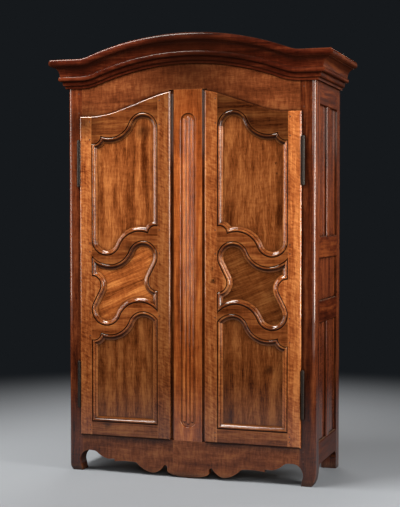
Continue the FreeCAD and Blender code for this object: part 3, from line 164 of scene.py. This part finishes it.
# %% Soft boxes
LAMP_COLOUR = "#fff4e9"
LAMPS = {                        # place, aim and size in m, power in W
    "key_box": {"place": (-1.6, -1.5, 4.3), "aim": (0.0, -0.27, 1.6), "size": (2.4, 0.7), "power": 205},
    "left_box": {"place": (-2.8, -1.4, 1.7), "aim": (0.0, -0.3, 1.7), "size": (2.8, 2.2), "power": 14},
    "left_strip": {"place": (-2.7, -0.75, 1.8), "aim": (0.0, -0.3, 1.7), "size": (0.4, 2.0), "power": 30},
    "right_box": {"place": (2.7, -1.6, 1.6), "aim": (0.0, -0.3, 1.7), "size": (3.2, 2.4), "power": 30},
    "right_strip": {"place": (2.6, -0.8, 1.7), "aim": (0.0, -0.3, 1.7), "size": (0.45, 2.0), "power": 66},
    "fill_box": {"place": (2.2, -6.4, 2.9), "aim": (0.0, -0.2, 1.7), "size": (1.6, 1.6), "power": 52},
    "back_box": {"place": (-1.1, 4.2, 2.7), "aim": (0.0, 0.3, 1.3), "size": (2.4, 2.0), "power": 120},
    "back_right_box": {"place": (2.3, 3.2, 2.3), "aim": (0.7, 0.0, 1.7), "size": (1.0, 1.6), "power": 9},
}
for name, lamp in LAMPS.items():
    light = bpy.data.lights.new(name, "AREA")
    light.shape = "RECTANGLE"
    light.size, light.size_y = lamp["size"]
    light.energy = lamp["power"]
    light.color = linear(LAMP_COLOUR)[:3]
    holder = bpy.data.objects.new(name, light)
    bpy.context.scene.collection.objects.link(holder)
    holder.location = lamp["place"]
    holder.visible_camera = False
    sight = [a - p for a, p in zip(lamp["aim"], lamp["place"])]
    flat = math.hypot(sight[0], sight[1])
    holder.rotation_euler = (math.atan2(flat, -sight[2]), 0.0, math.atan2(-sight[0], sight[1]))
    print(f"{name}: {lamp['power']} W, {math.hypot(flat, sight[2]):.1f} m away")

# %% [markdown]
# ## Grain in space
# A scanned photograph of a board would repeat from piece to piece and stretch over the mouldings. Here
# the figure of the wood is worked out in space instead, from the frame's coordinates in millimetres. A
# layer of it is a noise with one size along the grain and another across it. A jump that differs from
# piece to piece stands for cutting them from different boards.

# %% Grain of a board
MM = 1000.0                      # millimetres in one unit of the frame
BOARD_JUMP = (7300.0, 4100.0, 9700.0)  # mm, times a random share for each piece
AXES = "XYZ"
NOISE_LOW, NOISE_HIGH = 0.26, 0.74  # span in which nearly all values of a noise lie


def millimetres(tree):
    """Place of a point in the frame, in millimetres."""
    place = add(tree, "TexCoord").outputs["Object"]
    return add(tree, "VectorMath", {0: place, 1: (MM, MM, MM)}, operation="MULTIPLY").outputs[0]


def board_place(tree, spot):
    """Place of a point in the board that its piece was cut from."""
    board = add(tree, "ObjectInfo").outputs["Random"]
    return add(tree, "VectorMath", {0: board, 1: BOARD_JUMP, 2: spot}, operation="MULTIPLY_ADD").outputs[0]


def pulled(grain, along, across):
    """Size of a pattern on each axis, from its size along the grain and across it."""
    return [along if axis == grain else across for axis in AXES]


def grain_layer(tree, spot, grain, along, across, slant, detail):
    """One layer of the figure, spread to run from about 0 to 1."""
    tilt = math.radians(slant)
    stretched = add(tree, "Mapping", {"Vector": spot, "Rotation": (tilt, tilt, 0.0),
                                      "Scale": pulled(grain, along, across)},
                    vector_type="TEXTURE").outputs[0]
    noise = add(tree, "TexNoise", {"Vector": stretched, "Scale": 1.0, "Detail": detail}).outputs["Fac"]
    return add(tree, "MapRange", {"Value": noise, START: NOISE_LOW, FULL: NOISE_HIGH}).outputs[0]


print(f"boards lie up to {max(BOARD_JUMP) / MM:g} m apart in the noise")

# %% [markdown]
# ## Waxed walnut
# Walnut is a brown wood with dark growth streaks along the grain, short open pores, and on good boards a
# ripple that runs across the grain. Each of these is a layer with the size of the real feature, and a
# slower noise bends them all.

# %% Layers of the walnut figure
# size in mm along the grain and across it, slant in degrees, detail; dashes are bundles of pores, and the
# pores, in life a few tenths of a millimetre wide, are drawn coarser so that they show
WALNUT_LAYERS = {
    "streaks": (700.0, 14.0, 0.0, 5.0),
    "bands": (900.0, 50.0, 0.0, 3.0),
    "mottle": (150.0, 45.0, 0.0, 4.0),
    "ripple": (11.0, 50.0, 0.0, 2.0),
    "slanted": (9.0, 28.0, 24.0, 2.0),
    "dashes": (60.0, 3.6, 0.0, 3.0),
    "pores": (26.0, 1.3, 0.0, 1.0),
}
WANDER = (340.0, 80.0)           # mm, size of the slow bends of the grain along and across it
WANDER_DETAIL = 2.0
WANDER_BY = 34.0                 # mm, how far they carry it


def walnut_layers(tree, spot, grain, lean, names):
    """The named layers of the figure, on a board whose grain leans by some degrees."""
    straight = add(tree, "VectorRotate", {"Vector": board_place(tree, spot), "Angle": math.radians(lean)},
                   rotation_type="Y_AXIS").outputs[0]
    slow = add(tree, "Mapping", {"Vector": straight, "Scale": pulled(grain, *WANDER)},
               vector_type="TEXTURE").outputs[0]
    bend = add(tree, "TexNoise", {"Vector": slow, "Scale": 1.0, "Detail": WANDER_DETAIL}).outputs["Color"]
    bent = add(tree, "VectorMath", {0: bend, 1: (WANDER_BY,) * 3, 2: straight},
               operation="MULTIPLY_ADD").outputs[0]
    return {name: grain_layer(tree, bent, grain, *WALNUT_LAYERS[name]) for name in names}


print({name: f"{size[0]:g} x {size[1]:g} mm" for name, size in WALNUT_LAYERS.items()})

# %% [markdown]
# The layers are added up with weights and sent through a ramp of three colours of the same board. Boards
# of one tree still differ in tone, so the ramp is multiplied by the colour that each piece carries as an
# object; that way one finish serves many pieces. The wood is painted darker towards the lower half of the
# armoire, a painted shade for the light that falls off towards the floor, which the height above the floor
# gives.

# %% Colour of a board
RAMP_DARK, RAMP_MIDDLE, RAMP_LIGHT = 0.15, 0.5, 0.85  # places of the three colours on the ramp
FLOOR_SHADE_TONE = 0.55                 # tone of the wood at the floor
FLOOR_SHADE_TOP = 1300.0                 # mm above the floor, where the darkening ends


def board_colour(tree, spot, layers, weights, colours):
    """Colour of the clean wood, from its weighted layers and its colours from dark to light."""
    dark, middle, light = colours
    figure = RAMP_MIDDLE - sum(weights.values()) / 2
    for layer, weight in weights.items():
        figure = add(tree, "Math", {0: layers[layer], 1: weight, 2: figure},
                     operation="MULTIPLY_ADD").outputs[0]
    ramp = add(tree, "ValToRGB", {"Fac": figure})
    first, last = ramp.color_ramp.elements
    first.position = RAMP_DARK
    first.color = linear(dark)
    last.position = RAMP_LIGHT
    last.color = linear(light)
    ramp.color_ramp.elements.new(RAMP_MIDDLE).color = linear(middle)
    # each piece's tone, which also holds painted light and shade
    tone = add(tree, "ObjectInfo").outputs["Color"]
    # painted shade: the wood is darker towards the floor, where the light falls off
    height = add(tree, "SeparateXYZ", {0: spot}).outputs["Z"]
    floor_shade = add(tree, "MapRange", {"Value": height, FULL: FLOOR_SHADE_TOP, AT_START: FLOOR_SHADE_TONE}).outputs[0]
    wood = ramp.outputs["Color"]
    for factor in (tone, floor_shade):
        wood = add(tree, "Mix", {SHARE: 1.0, UNDER: wood, OVER: factor}, data_type="RGBA",
                   blend_type="MULTIPLY").outputs[MIXED]
    return wood


print(f"the wood keeps {FLOOR_SHADE_TONE:.0%} of its tone at the floor, all of it above {FLOOR_SHADE_TOP:g} mm")

# %% [markdown]
# Old boards carry marks of their own. A few knots and stains sit where the wood of this armoire shows
# them, with two larger worm holes. Two soft dark marks among them are painted shade: one at the top of the
# left hinge stile, and the cornice's shadow across the frieze under its arch. Each is the distance from a
# point on the front, with a noise that makes its edge ragged. The mark goes through the board, as a knot
# does.

# %% Knots, stains and painted shade
KNOTS_AND_SHADOWS = {                        # place across and up the front and radius, in millimetres, and strength
    "top_rail_knot": (339.0, 1919.0, 36.0, 0.75),
    "upper_panel_stain": (-257.0, 1871.0, 60.0, 0.75),
    "bottom_rail_knot": (-463.0, 268.0, 30.0, 0.75),
    "stopped_keyhole": (141.0, 1131.0, 13.0, 0.75),
    "keyhole_grime": (147.0, 1068.0, 20.0, 0.75),
    "lower_panel_stain": (451.0, 604.0, 34.0, 0.75),
    "middle_rail_stain": (-330.0, 1238.0, 40.0, 0.75),
    # painted shade: the top of the left hinge stile, and the cornice's shadow across the frieze
    "hinge_stile_painted_shade": (-600.0, 1925.0, 130.0, 0.8),
    "frieze_painted_shadow": (30.0, 2230.0, 420.0, 0.78),
    "upper_worm_hole": (487.0, 1688.0, 6.0, 0.9),
    "lower_worm_hole": (491.0, 1636.0, 7.0, 0.9),
}
KNOT_CORE = 0.1                  # share of the radius that has the full strength
KNOT_RAGGED = 26.0               # mm, how far a knot's edge wanders
KNOT_DETAIL = 3.0
ONTO_FRONT = (1.0, 0.0, 1.0)     # leaves out the depth


def knots_and_shadows(tree, spot):
    """How dark the knots and stains of the front are, with the painted shade among them."""
    ragged = add(tree, "TexNoise", {"Vector": spot, "Scale": 1 / KNOT_RAGGED, "Detail": KNOT_DETAIL})
    moved = add(tree, "VectorMath", {0: ragged.outputs["Color"], 1: (KNOT_RAGGED,) * 3, 2: spot},
                operation="MULTIPLY_ADD").outputs[0]
    front = add(tree, "VectorMath", {0: moved, 1: ONTO_FRONT}, operation="MULTIPLY").outputs[0]
    dark = 0.0
    for x, z, radius, strength in KNOTS_AND_SHADOWS.values():
        middle = (x + KNOT_RAGGED / 2, 0.0, z + KNOT_RAGGED / 2)
        away = add(tree, "VectorMath", {0: front, 1: middle}, operation="DISTANCE").outputs["Value"]
        near = add(tree, "MapRange", {"Value": away, START: radius, FULL: KNOT_CORE * radius,
                                      AT_FULL: strength}).outputs[0]
        dark = add(tree, "Math", {0: near, 1: dark}, operation="MAXIMUM").outputs[0]
    return dark


print(len(KNOTS_AND_SHADOWS), "single marks, from", min(k[2] for k in KNOTS_AND_SHADOWS.values()), "mm in radius")

# %% [markdown]
# Furniture beetles have left a scatter of small holes. A Voronoi pattern is a field of random points, and
# what lies nearest to some of them is a hole. The feet are scuffed pale by brooms, which the height above
# the floor gives.

# %% Worm holes and scuffed feet
WORM_CELL = 55.0                 # mm, one place for a hole in each square of this size
WORM_SHARE = 0.3                 # and how many of them have one
WORM_RADIUS = 1.8                # mm, drawn twice as large as real so that it shows
SCUFF_TOP, SCUFF_FULL = 38.0, 8.0  # mm above the floor


def worm_holes(tree, spot):
    """1 in the small holes of the beetles, 0 elsewhere."""
    front = add(tree, "VectorMath", {0: spot, 1: ONTO_FRONT}, operation="MULTIPLY").outputs[0]
    field = add(tree, "TexVoronoi", {"Vector": front, "Scale": 1 / WORM_CELL})
    inside = add(tree, "Math", {0: field.outputs["Distance"], 1: WORM_RADIUS / WORM_CELL},
                 operation="LESS_THAN").outputs[0]
    taken = add(tree, "Math", {0: field.outputs["Color"], 1: WORM_SHARE}, operation="LESS_THAN").outputs[0]
    return add(tree, "Math", {0: inside, 1: taken}, operation="MULTIPLY").outputs[0]


def scuffs(tree, spot, patchy):
    """How far the lowest few centimetres are scuffed."""
    height = add(tree, "SeparateXYZ", {0: spot}).outputs["Z"]
    low = add(tree, "MapRange", {"Value": height, START: SCUFF_TOP, FULL: SCUFF_FULL}).outputs[0]
    return add(tree, "Math", {0: low, 1: patchy}, operation="MULTIPLY").outputs[0]


print("a worm hole about every", round(WORM_CELL / WORM_SHARE ** 0.5), "mm")

# %% [markdown]
# Two centuries of wax and dusting leave marks that follow the shape: dark wax in the corners, thin grime
# round the mouldings, edges rubbed lighter by hands, and dust on the ledges. Painted light rides on the
# same masks: painted shade in the corners and round the mouldings, a painted highlight on the rubbed bead
# crests, and painted shade on all that faces down. They could be painted by hand, but the shape itself can
# place them. Ambient occlusion tells how close the surroundings of a point are; taken inwards, it finds
# the edges. The direction a surface faces finds the undersides and the ledges.

# %% Marks that follow the shape
# reach in m, openness at which a mark starts and is full, most that it covers, and rays for the measure
# rubbed edges: wear, and a painted highlight on the bead crests
RUBBED_EDGE_AND_HIGHLIGHT = {"reach": 0.006, "start": 0.9, "full": 0.4, "most": 0.25, "rays": 4}
# dark wax in the corners, and painted shade there
CORNER_WAX_AND_SHADE = {"reach": 0.009, "start": 0.92, "full": 0.4, "most": 0.92, "rays": 6}
# thin grime round the mouldings, and painted shade there
THIN_GRIME_AND_SHADE = {"reach": 0.03, "start": 0.985, "full": 0.76, "rays": 4}
GRIME_AND_SHADE = 0.9                      # most that thin grime covers, unless a finish says less
GRIME_THIN, GRIME_THICK = 0.75, 0.25  # mottle at which the grime is thinned, and where it is whole
THINNED = 0.5                    # share of the grime that is left where it is thinned
UNDERSIDE_SHADE = 0.85                 # most that painted shade covers what faces down
# upward part of a surface's direction, where a cover starts and where it is full
DOWNWARD = (-0.05, -0.6)
UPWARD = (0.75, 0.98)


def nook(tree, reach, start, full, most, rays, **how):
    """How far a mark covers the wood: not at all in the open, most where the surroundings close in."""
    openness = add(tree, "AmbientOcclusion", {"Distance": reach}, samples=rays, **how).outputs["AO"]
    return add(tree, "MapRange", {"Value": openness, START: start, FULL: full, AT_FULL: most}).outputs[0]


def grime_and_shade_cover(tree, mottle, most):
    """How far thin grime and painted shade cover the wood round the mouldings, thicker in some patches than
    in others.
    """
    patchy = add(tree, "MapRange", {"Value": mottle, START: GRIME_THIN, FULL: GRIME_THICK,
                                    AT_START: THINNED}).outputs[0]
    near = nook(tree, most=most, **THIN_GRIME_AND_SHADE)
    return add(tree, "Math", {0: near, 1: patchy}, operation="MULTIPLY").outputs[0]


def facing(tree, way, most):
    """How far what faces a way is covered: down for painted shade, up for dust."""
    direction = add(tree, "NewGeometry").outputs["Normal"]
    upward = add(tree, "SeparateXYZ", {0: direction}).outputs["Z"]
    return add(tree, "MapRange", {"Value": upward, START: way[0], FULL: way[1], AT_FULL: most}).outputs[0]


print("reach in mm:", {"rubbed": RUBBED_EDGE_AND_HIGHLIGHT["reach"] * MM, "wax": CORNER_WAX_AND_SHADE["reach"] * MM,
                       "grime_and_shade": THIN_GRIME_AND_SHADE["reach"] * MM})

# %% [markdown]
# The gloss is that of hand-rubbed beeswax: a thin smooth coat over a rougher body. Wax wets the fibres, so
# the wood below it hardly reflects, and nearly all the gloss is the coat's. Where old wax or dust lies
# thick, and under the painted shade of what faces down, there is hardly any polish and the surface is
# dull. A bevel in the shader rounds sharp edges as wear does, without a change to the mesh, and two
# shallow bumps stand for the plane's long waves and the fibres.

# %% Wax over wood
SMOOTH, DULL = 0.35, 0.47        # roughness of the wood under the wax, from patch to patch
COVERED_ROUGH = 0.45             # added where old wax or dust covers it
COVERED_POLISH = 0.1             # share of the coat that is left there
SOFT_EDGE = 0.0015               # m, radius that wear gives a sharp edge
BEVEL_RAYS = 4
PLANE_WAVES = {"Strength": 0.25, "Distance": 0.0009}  # distances are heights in m
FIBRES = {"Strength": 0.2, "Distance": 0.0004}
WETTED_WOOD = {"IOR": 1.5, "Specular IOR Level": 0.02}
# beeswax has an IOR near 1.45; more is set, so that lines finer than a pixel still come out bright
WAX_COAT = {"Coat Roughness": 0.09, "Coat IOR": 1.75}


def wax_over(tree, colour, layers, hidden, coat):
    """Waxed wood of a colour, with less of the coat where something hides it."""
    polish = add(tree, "MapRange", {"Value": hidden, FULL: UNDERSIDE_SHADE, AT_START: coat,
                                    AT_FULL: COVERED_POLISH * coat}).outputs[0]
    rough = add(tree, "MapRange", {"Value": layers["mottle"], AT_START: SMOOTH, AT_FULL: DULL}).outputs[0]
    rough = add(tree, "Math", {0: hidden, 1: COVERED_ROUGH, 2: rough}, operation="MULTIPLY_ADD").outputs[0]
    worn = add(tree, "Bevel", {"Radius": SOFT_EDGE}, samples=BEVEL_RAYS).outputs[0]
    planed = add(tree, "Bump", {"Height": layers["bands"], "Normal": worn, **PLANE_WAVES}).outputs[0]
    fibrous = add(tree, "Bump", {"Height": layers["dashes"], "Normal": planed, **FIBRES}).outputs[0]
    return add(tree, "BsdfPrincipled", {"Base Color": colour, "Roughness": rough, "Normal": fibrous,
                                        "Coat Weight": polish, **WETTED_WOOD, **WAX_COAT}).outputs[0]


head_on = ((WAX_COAT["Coat IOR"] - 1) / (WAX_COAT["Coat IOR"] + 1)) ** 2
print(f"the full coat reflects {head_on:.1%} of the light that falls straight on it")

# %% [markdown]
# The finish lays the marks over the clean wood one by one, in the order in which they came: what grew in
# the wood, then wear, then wax and grime, then the beetles' holes and last the dust. Painted light rides
# along: shade among the knots, a highlight on the rubbed edges, and shade in the corners, round the
# mouldings and on what faces down. Only wax in the corners, the undersides and dust are thick enough to
# hide the polish.

# %% The walnut finish
# colour of old wax, and of the painted shade that shares its marks
OLD_WAX_AND_SHADE = "#260e05"
WORM_DARK = "#120703"
SCUFFED = "#7b553a"
DUST = "#6b5648"


def marked(tree, colour, marks):
    """Lay marks over a colour; each is how far it covers and its own colour."""
    for cover, mark in marks:
        colour = add(tree, "Mix", {SHARE: cover, UNDER: colour, OVER: linear(mark)},
                     data_type="RGBA").outputs[MIXED]
    return colour


def walnut(name, grain, weights, colours, coat=1.0, lean=0.0, dust=0.0, grime_and_shade=GRIME_AND_SHADE):
    """Walnut, planed, waxed and rubbed: to the eye a deep warm brown with a soft mirror on top."""
    material, tree = blank(name)
    spot = millimetres(tree)
    layers = walnut_layers(tree, spot, grain, lean, weights)
    corner = nook(tree, **CORNER_WAX_AND_SHADE)
    underside_shade = facing(tree, DOWNWARD, UNDERSIDE_SHADE)
    above = facing(tree, UPWARD, dust)
    clean = board_colour(tree, spot, layers, weights, colours)
    # painted light among these marks: shade with the knots, a highlight on rubbed edges, shade in corners,
    # round mouldings and under what faces down
    colour = marked(tree, clean, (
        (knots_and_shadows(tree, spot), OLD_WAX_AND_SHADE),
        (scuffs(tree, spot, layers["dashes"]), SCUFFED),
        (nook(tree, **RUBBED_EDGE_AND_HIGHLIGHT, inside=True, only_local=True), colours[-1]),
        (corner, OLD_WAX_AND_SHADE),
        (grime_and_shade_cover(tree, layers["mottle"], grime_and_shade), OLD_WAX_AND_SHADE),
        (underside_shade, OLD_WAX_AND_SHADE),
        (worm_holes(tree, spot), WORM_DARK),
        (above, DUST)))
    hidden = add(tree, "Math", {0: corner, 1: underside_shade}, operation="MAXIMUM").outputs[0]
    hidden = add(tree, "Math", {0: hidden, 1: above}, operation="MAXIMUM").outputs[0]
    add(tree, "OutputMaterial", {"Surface": wax_over(tree, colour, layers, hidden, coat)})
    return material


# old wax also colours the painted shade
print("old wax", OLD_WAX_AND_SHADE, "scuffs", SCUFFED, "dust", DUST)

# %% [markdown]
# The boards were chosen with care: rippled ones for the uprights of the doors, mottled ones for the
# panels, plain straight ones for rails and case, and for the frieze and apron a board with a close ripple
# like the back of a fiddle. The doors are the paler and glossier part, the case is redder and darker. Each
# finish names its grain, the weights of its layers and its three colours.

# %% Nine finishes of walnut
# weight of each layer in the figure
STRAIGHT = {"streaks": 0.42, "bands": 0.46, "mottle": 0.34, "ripple": 0.16, "dashes": 0.3, "pores": 0.18}
FIDDLED = {"streaks": 0.14, "bands": 0.3, "mottle": 0.34, "ripple": 0.26, "dashes": 0.14, "pores": 0.2}
RIPPLED = {"streaks": 0.34, "bands": 0.44, "mottle": 0.34, "slanted": 0.44, "dashes": 0.32, "pores": 0.22}
MOTTLED = {"streaks": 0.26, "bands": 0.46, "mottle": 0.44, "ripple": 0.12, "dashes": 0.36, "pores": 0.28}
finishes = {
    "door_upright": walnut("waxed_walnut_stiles", "Z", RIPPLED, ("#6a3013", "#a45b2d", "#cd844a"),
                           coat=0.85),
    "door_level": walnut("waxed_walnut_rails", "X", STRAIGHT, ("#4c2109", "#844722", "#ae6d39"),
                         coat=0.6),
    "panel_upright": walnut("waxed_walnut_panels", "Z", MOTTLED, ("#4a2008", "#8a4b23", "#be7841"),
                            coat=0.8),
    "panel_level": walnut("waxed_walnut_middle_panels", "X", STRAIGHT, ("#52250b", "#945125", "#c07b40"),
                          lean=22.0),
    "stile_upright": walnut("waxed_walnut_centre_stile", "Z", STRAIGHT, ("#5f290c", "#9c5023", "#c6783e"),
                            grime_and_shade=0.3),
    "case_upright": walnut("waxed_walnut_posts", "Z", STRAIGHT, ("#2c0f07", "#592813", "#834626"),
                           coat=0.6),
    "case_level": walnut("waxed_walnut_cornice", "X", STRAIGHT, ("#200803", "#45180b", "#6c321b"),
                         coat=0.16, dust=0.85),
    "case_deep": walnut("waxed_walnut_sides", "Y", STRAIGHT, ("#260b04", "#50210e", "#783e1d"),
                        coat=0.2, dust=0.85),
    "figured_level": walnut("waxed_walnut_frieze", "X", FIDDLED, ("#3b180a", "#753d20", "#a5653a"),
                            coat=0.4),
}
print(sorted(m.name for m in finishes.values()))

# %% [markdown]
# ## Oak inside and behind
# What is not meant to be seen is made of oak: the framed back, the shelves, the floor and the top. It was
# sawn, planed and left bare, so it has gone a dull grey brown. Oak differs from walnut in its coarser,
# straighter grain and its open pores; it has no gloss to speak of. The same kind of layers make it, three
# instead of six and with no bends, and it gets no coat.

# %% The oak finish
# size in mm along the grain and across it, slant, detail; the pores are drawn coarser than life
OAK_LAYERS = {
    "growth": (800.0, 9.0, 0.0, 4.0),
    "stain": (300.0, 160.0, 0.0, 4.0),
    "pores": (34.0, 2.2, 0.0, 1.0),
}
OAK_DARK, OAK_LIGHT = "#6f4827", "#ab7d4e"
OAK_DARK_AT, OAK_LIGHT_AT = 0.1, 0.9   # places of the two colours on the ramp
OAK_PORE, OAK_GREY, OAK_CORNER_DARK = "#3f2d1c", "#6a5038", "#2e2218"
PORE_FROM, PORE_MOST = 0.75, 0.5       # where in its layer a pore starts, and most that it covers
GREY_FROM, GREY_MOST = 0.3, 0.6
CORNER_DARKENING = {"reach": 0.04, "start": 0.9, "full": 0.3, "most": 0.5, "rays": 4}
OAK_RELIEF = {"Strength": 0.4, "Distance": 0.0008}
BARE_WOOD = {"Roughness": 0.72, "IOR": 1.5, "Specular IOR Level": 0.3}


def oak(name, grain):
    """Oak, sawn, planed and left bare: to the eye dry and dull, with a coarse straight grain."""
    material, tree = blank(name)
    spot = board_place(tree, millimetres(tree))
    layers = {layer: grain_layer(tree, spot, grain, *size) for layer, size in OAK_LAYERS.items()}
    ramp = add(tree, "ValToRGB", {"Fac": layers["growth"]})
    first, last = ramp.color_ramp.elements
    first.position = OAK_DARK_AT
    first.color = linear(OAK_DARK)
    last.position = OAK_LIGHT_AT
    last.color = linear(OAK_LIGHT)
    pores = add(tree, "MapRange", {"Value": layers["pores"], START: PORE_FROM, AT_FULL: PORE_MOST}).outputs[0]
    grey = add(tree, "MapRange", {"Value": layers["stain"], START: GREY_FROM, AT_FULL: GREY_MOST}).outputs[0]
    # the oak is darker in its corners
    darker_corners = nook(tree, **CORNER_DARKENING)
    colour = marked(tree, ramp.outputs["Color"], ((pores, OAK_PORE), (grey, OAK_GREY), (darker_corners, OAK_CORNER_DARK)))
    relief = add(tree, "Bump", {"Height": layers["growth"], **OAK_RELIEF}).outputs[0]
    shader = add(tree, "BsdfPrincipled", {"Base Color": colour, "Normal": relief, **BARE_WOOD})
    add(tree, "OutputMaterial", {"Surface": shader.outputs[0]})
    return material


for grain, word in zip(AXES, ("level", "deep", "upright")):
    finishes["oak_" + word] = oak("bare_oak_" + word, grain)
print(sorted(m.name for m in bpy.data.materials if "oak" in m.name))

# %% [markdown]
# ## Forged iron
# The long hinges, the lock and the bolts are forged iron, black from the fire and from oil, with a little
# brown rust where the oil wore off. A metal is made with the metallic slider and a dark colour. Rust is no
# metal, so one noise moves colour, metallic and roughness together. The hammer left shallow dents, which
# are the cells of a smooth Voronoi pattern under a bump.

# %% The iron finish
RUST_PATCH = 14.0                # mm across
RUST_DETAIL = 5.0
RUST_FROM, RUST_FULL = 0.38, 0.72  # noise at which rust starts and is full
HAMMER_DENT = 14.0               # mm across
OILED_IRON, IRON_RUST = "#34312e", "#271b13"
OILED_METAL, RUSTY_METAL = 0.85, 0.35
OILED_ROUGH, RUSTY_ROUGH = 0.34, 0.62
DENTS = {"Strength": 0.3, "Distance": 0.0008}


def forged_iron():
    """Iron, hammered and oiled: to the eye nearly black, with a broken sheen and brown patches."""
    material, tree = blank("forged_iron_oiled")
    spot = millimetres(tree)
    patches = add(tree, "TexNoise", {"Vector": spot, "Scale": 1 / RUST_PATCH, "Detail": RUST_DETAIL})
    rusty = add(tree, "MapRange", {"Value": patches.outputs["Fac"], START: RUST_FROM,
                                   FULL: RUST_FULL}).outputs[0]
    colour = add(tree, "Mix", {SHARE: rusty, UNDER: linear(OILED_IRON), OVER: linear(IRON_RUST)},
                 data_type="RGBA").outputs[MIXED]
    metal = add(tree, "MapRange", {"Value": rusty, AT_START: OILED_METAL, AT_FULL: RUSTY_METAL}).outputs[0]
    rough = add(tree, "MapRange", {"Value": rusty, AT_START: OILED_ROUGH, AT_FULL: RUSTY_ROUGH}).outputs[0]
    hammer = add(tree, "TexVoronoi", {"Vector": spot, "Scale": 1 / HAMMER_DENT}, feature="SMOOTH_F1")
    dented = add(tree, "Bump", {"Height": hammer.outputs["Distance"], **DENTS}).outputs[0]
    shader = add(tree, "BsdfPrincipled", {"Base Color": colour, "Metallic": metal, "Roughness": rough,
                                          "Normal": dented})
    add(tree, "OutputMaterial", {"Surface": shader.outputs[0]})
    return material


finishes["iron"] = forged_iron()
print(finishes["iron"].name)

# %% [markdown]
# ## Pegs
# The joints are held by whittled pegs, driven through and cut off flush. Their ends show end grain, which
# soaks up wax and goes nearly black. From a few steps away they are dark dots, so one fine noise is enough.

# %% The peg finish
END_GRAIN = 1.5                  # mm, drawn coarser than the pores of real end grain
END_GRAIN_DETAIL = 3.0
PEG_DARK, PEG_LIGHT = "#2a130a", "#5a2d17"
END_RELIEF = {"Strength": 0.4, "Distance": 0.0004}
WAXED_END = {"Roughness": 0.5, "IOR": 1.5}


def peg_ends():
    """Walnut end grain, cut and waxed: to the eye a dark dot with hardly any gloss."""
    material, tree = blank("walnut_end_grain_waxed")
    spot = millimetres(tree)
    grain = add(tree, "TexNoise", {"Vector": spot, "Scale": 1 / END_GRAIN, "Detail": END_GRAIN_DETAIL})
    colour = add(tree, "Mix", {SHARE: grain.outputs["Fac"], UNDER: linear(PEG_DARK), OVER: linear(PEG_LIGHT)},
                 data_type="RGBA").outputs[MIXED]
    relief = add(tree, "Bump", {"Height": grain.outputs["Fac"], **END_RELIEF}).outputs[0]
    shader = add(tree, "BsdfPrincipled", {"Base Color": colour, "Normal": relief, **WAXED_END})
    add(tree, "OutputMaterial", {"Surface": shader.outputs[0]})
    return material


finishes["pegs"] = peg_ends()
print(finishes["pegs"].name)

# %% [markdown]
# ## Dressing the pieces
# Each piece takes the finish with the grain in its own direction: upright on stiles and panels, level on
# rails. A name like left_hinge_stile says which side the piece is on; without that it says what the piece
# is, and that picks the finish. A tone of its own makes a board lighter or darker than its neighbours;
# the tones were set piece by piece to the brightness each piece shows, so they hold painted light and
# shade as well.

# %% Finish and tone of every piece
DRESS = {
    "door_upright": ("hinge_stile", "meeting_stile"),
    "stile_upright": ("centre_stile",),
    "door_level": ("top_rail", "upper_mid_rail", "lower_mid_rail", "bottom_rail"),
    "panel_upright": ("upper_panel", "lower_panel"),
    "panel_level": ("middle_panel",),
    "case_upright": ("front_post", "back_post", "side_muntins", "side_panels"),
    "case_level": ("cornice_front",),
    "case_deep": ("side_bottom_rail", "side_mid_rails", "side_top_rail", "cornice"),
    "figured_level": ("frieze_rail", "apron"),
    "oak_level": ("back_rails", "shelves", "floor_boards", "top_boards"),
    "oak_upright": ("back_muntins", "back_panels"),
    "oak_deep": ("cleats",),
    "iron": ("hinge_pins", "hinge_knuckles", "lock_case", "lock_bolt", "upper_bolt", "lower_bolt",
             "bolt_guides"),
    "pegs": ("case_pegs", "door_pegs"),
}
FINISH_OF = {kind: finish for finish, kinds in DRESS.items() for kind in kinds}
# set piece by piece to each piece's brightness: the boards' own tone, and painted light and shade
TONES_AND_SHADE = {                        # 1 where a piece isn't named
    "centre_stile": 1.35, "front_post_left": 1.35, "apron_left": 1.18, "apron_right": 1.26,
    "side_panels_left": 1.15, "side_panels_right": 1.15,
    "left_hinge_stile": 1.05, "left_meeting_stile": 0.71, "left_top_rail": 0.78, "left_lower_mid_rail": 1.42,
    "left_upper_panel": 1.22, "left_middle_panel": 1.78, "left_lower_panel": 0.87,
    "right_hinge_stile": 1.28, "right_meeting_stile": 0.97, "right_top_rail": 0.42, "right_bottom_rail": 1.12,
    "right_upper_panel": 0.86, "right_middle_panel": 0.57, "right_lower_panel": 0.79,
}


def kind_of(node):
    """Name of a piece without the side it is on."""
    bare = node.removeprefix("left_").removeprefix("right_")
    return bare.removesuffix("_left").removesuffix("_right")


for node, piece in nodes.items():
    piece.data.materials.clear()
    piece.data.materials.append(finishes[FINISH_OF[kind_of(node)]])
    tone = TONES_AND_SHADE.get(node, 1.0)
    piece.color = (tone, tone, tone, 1.0)
print(len(nodes), "pieces dressed")
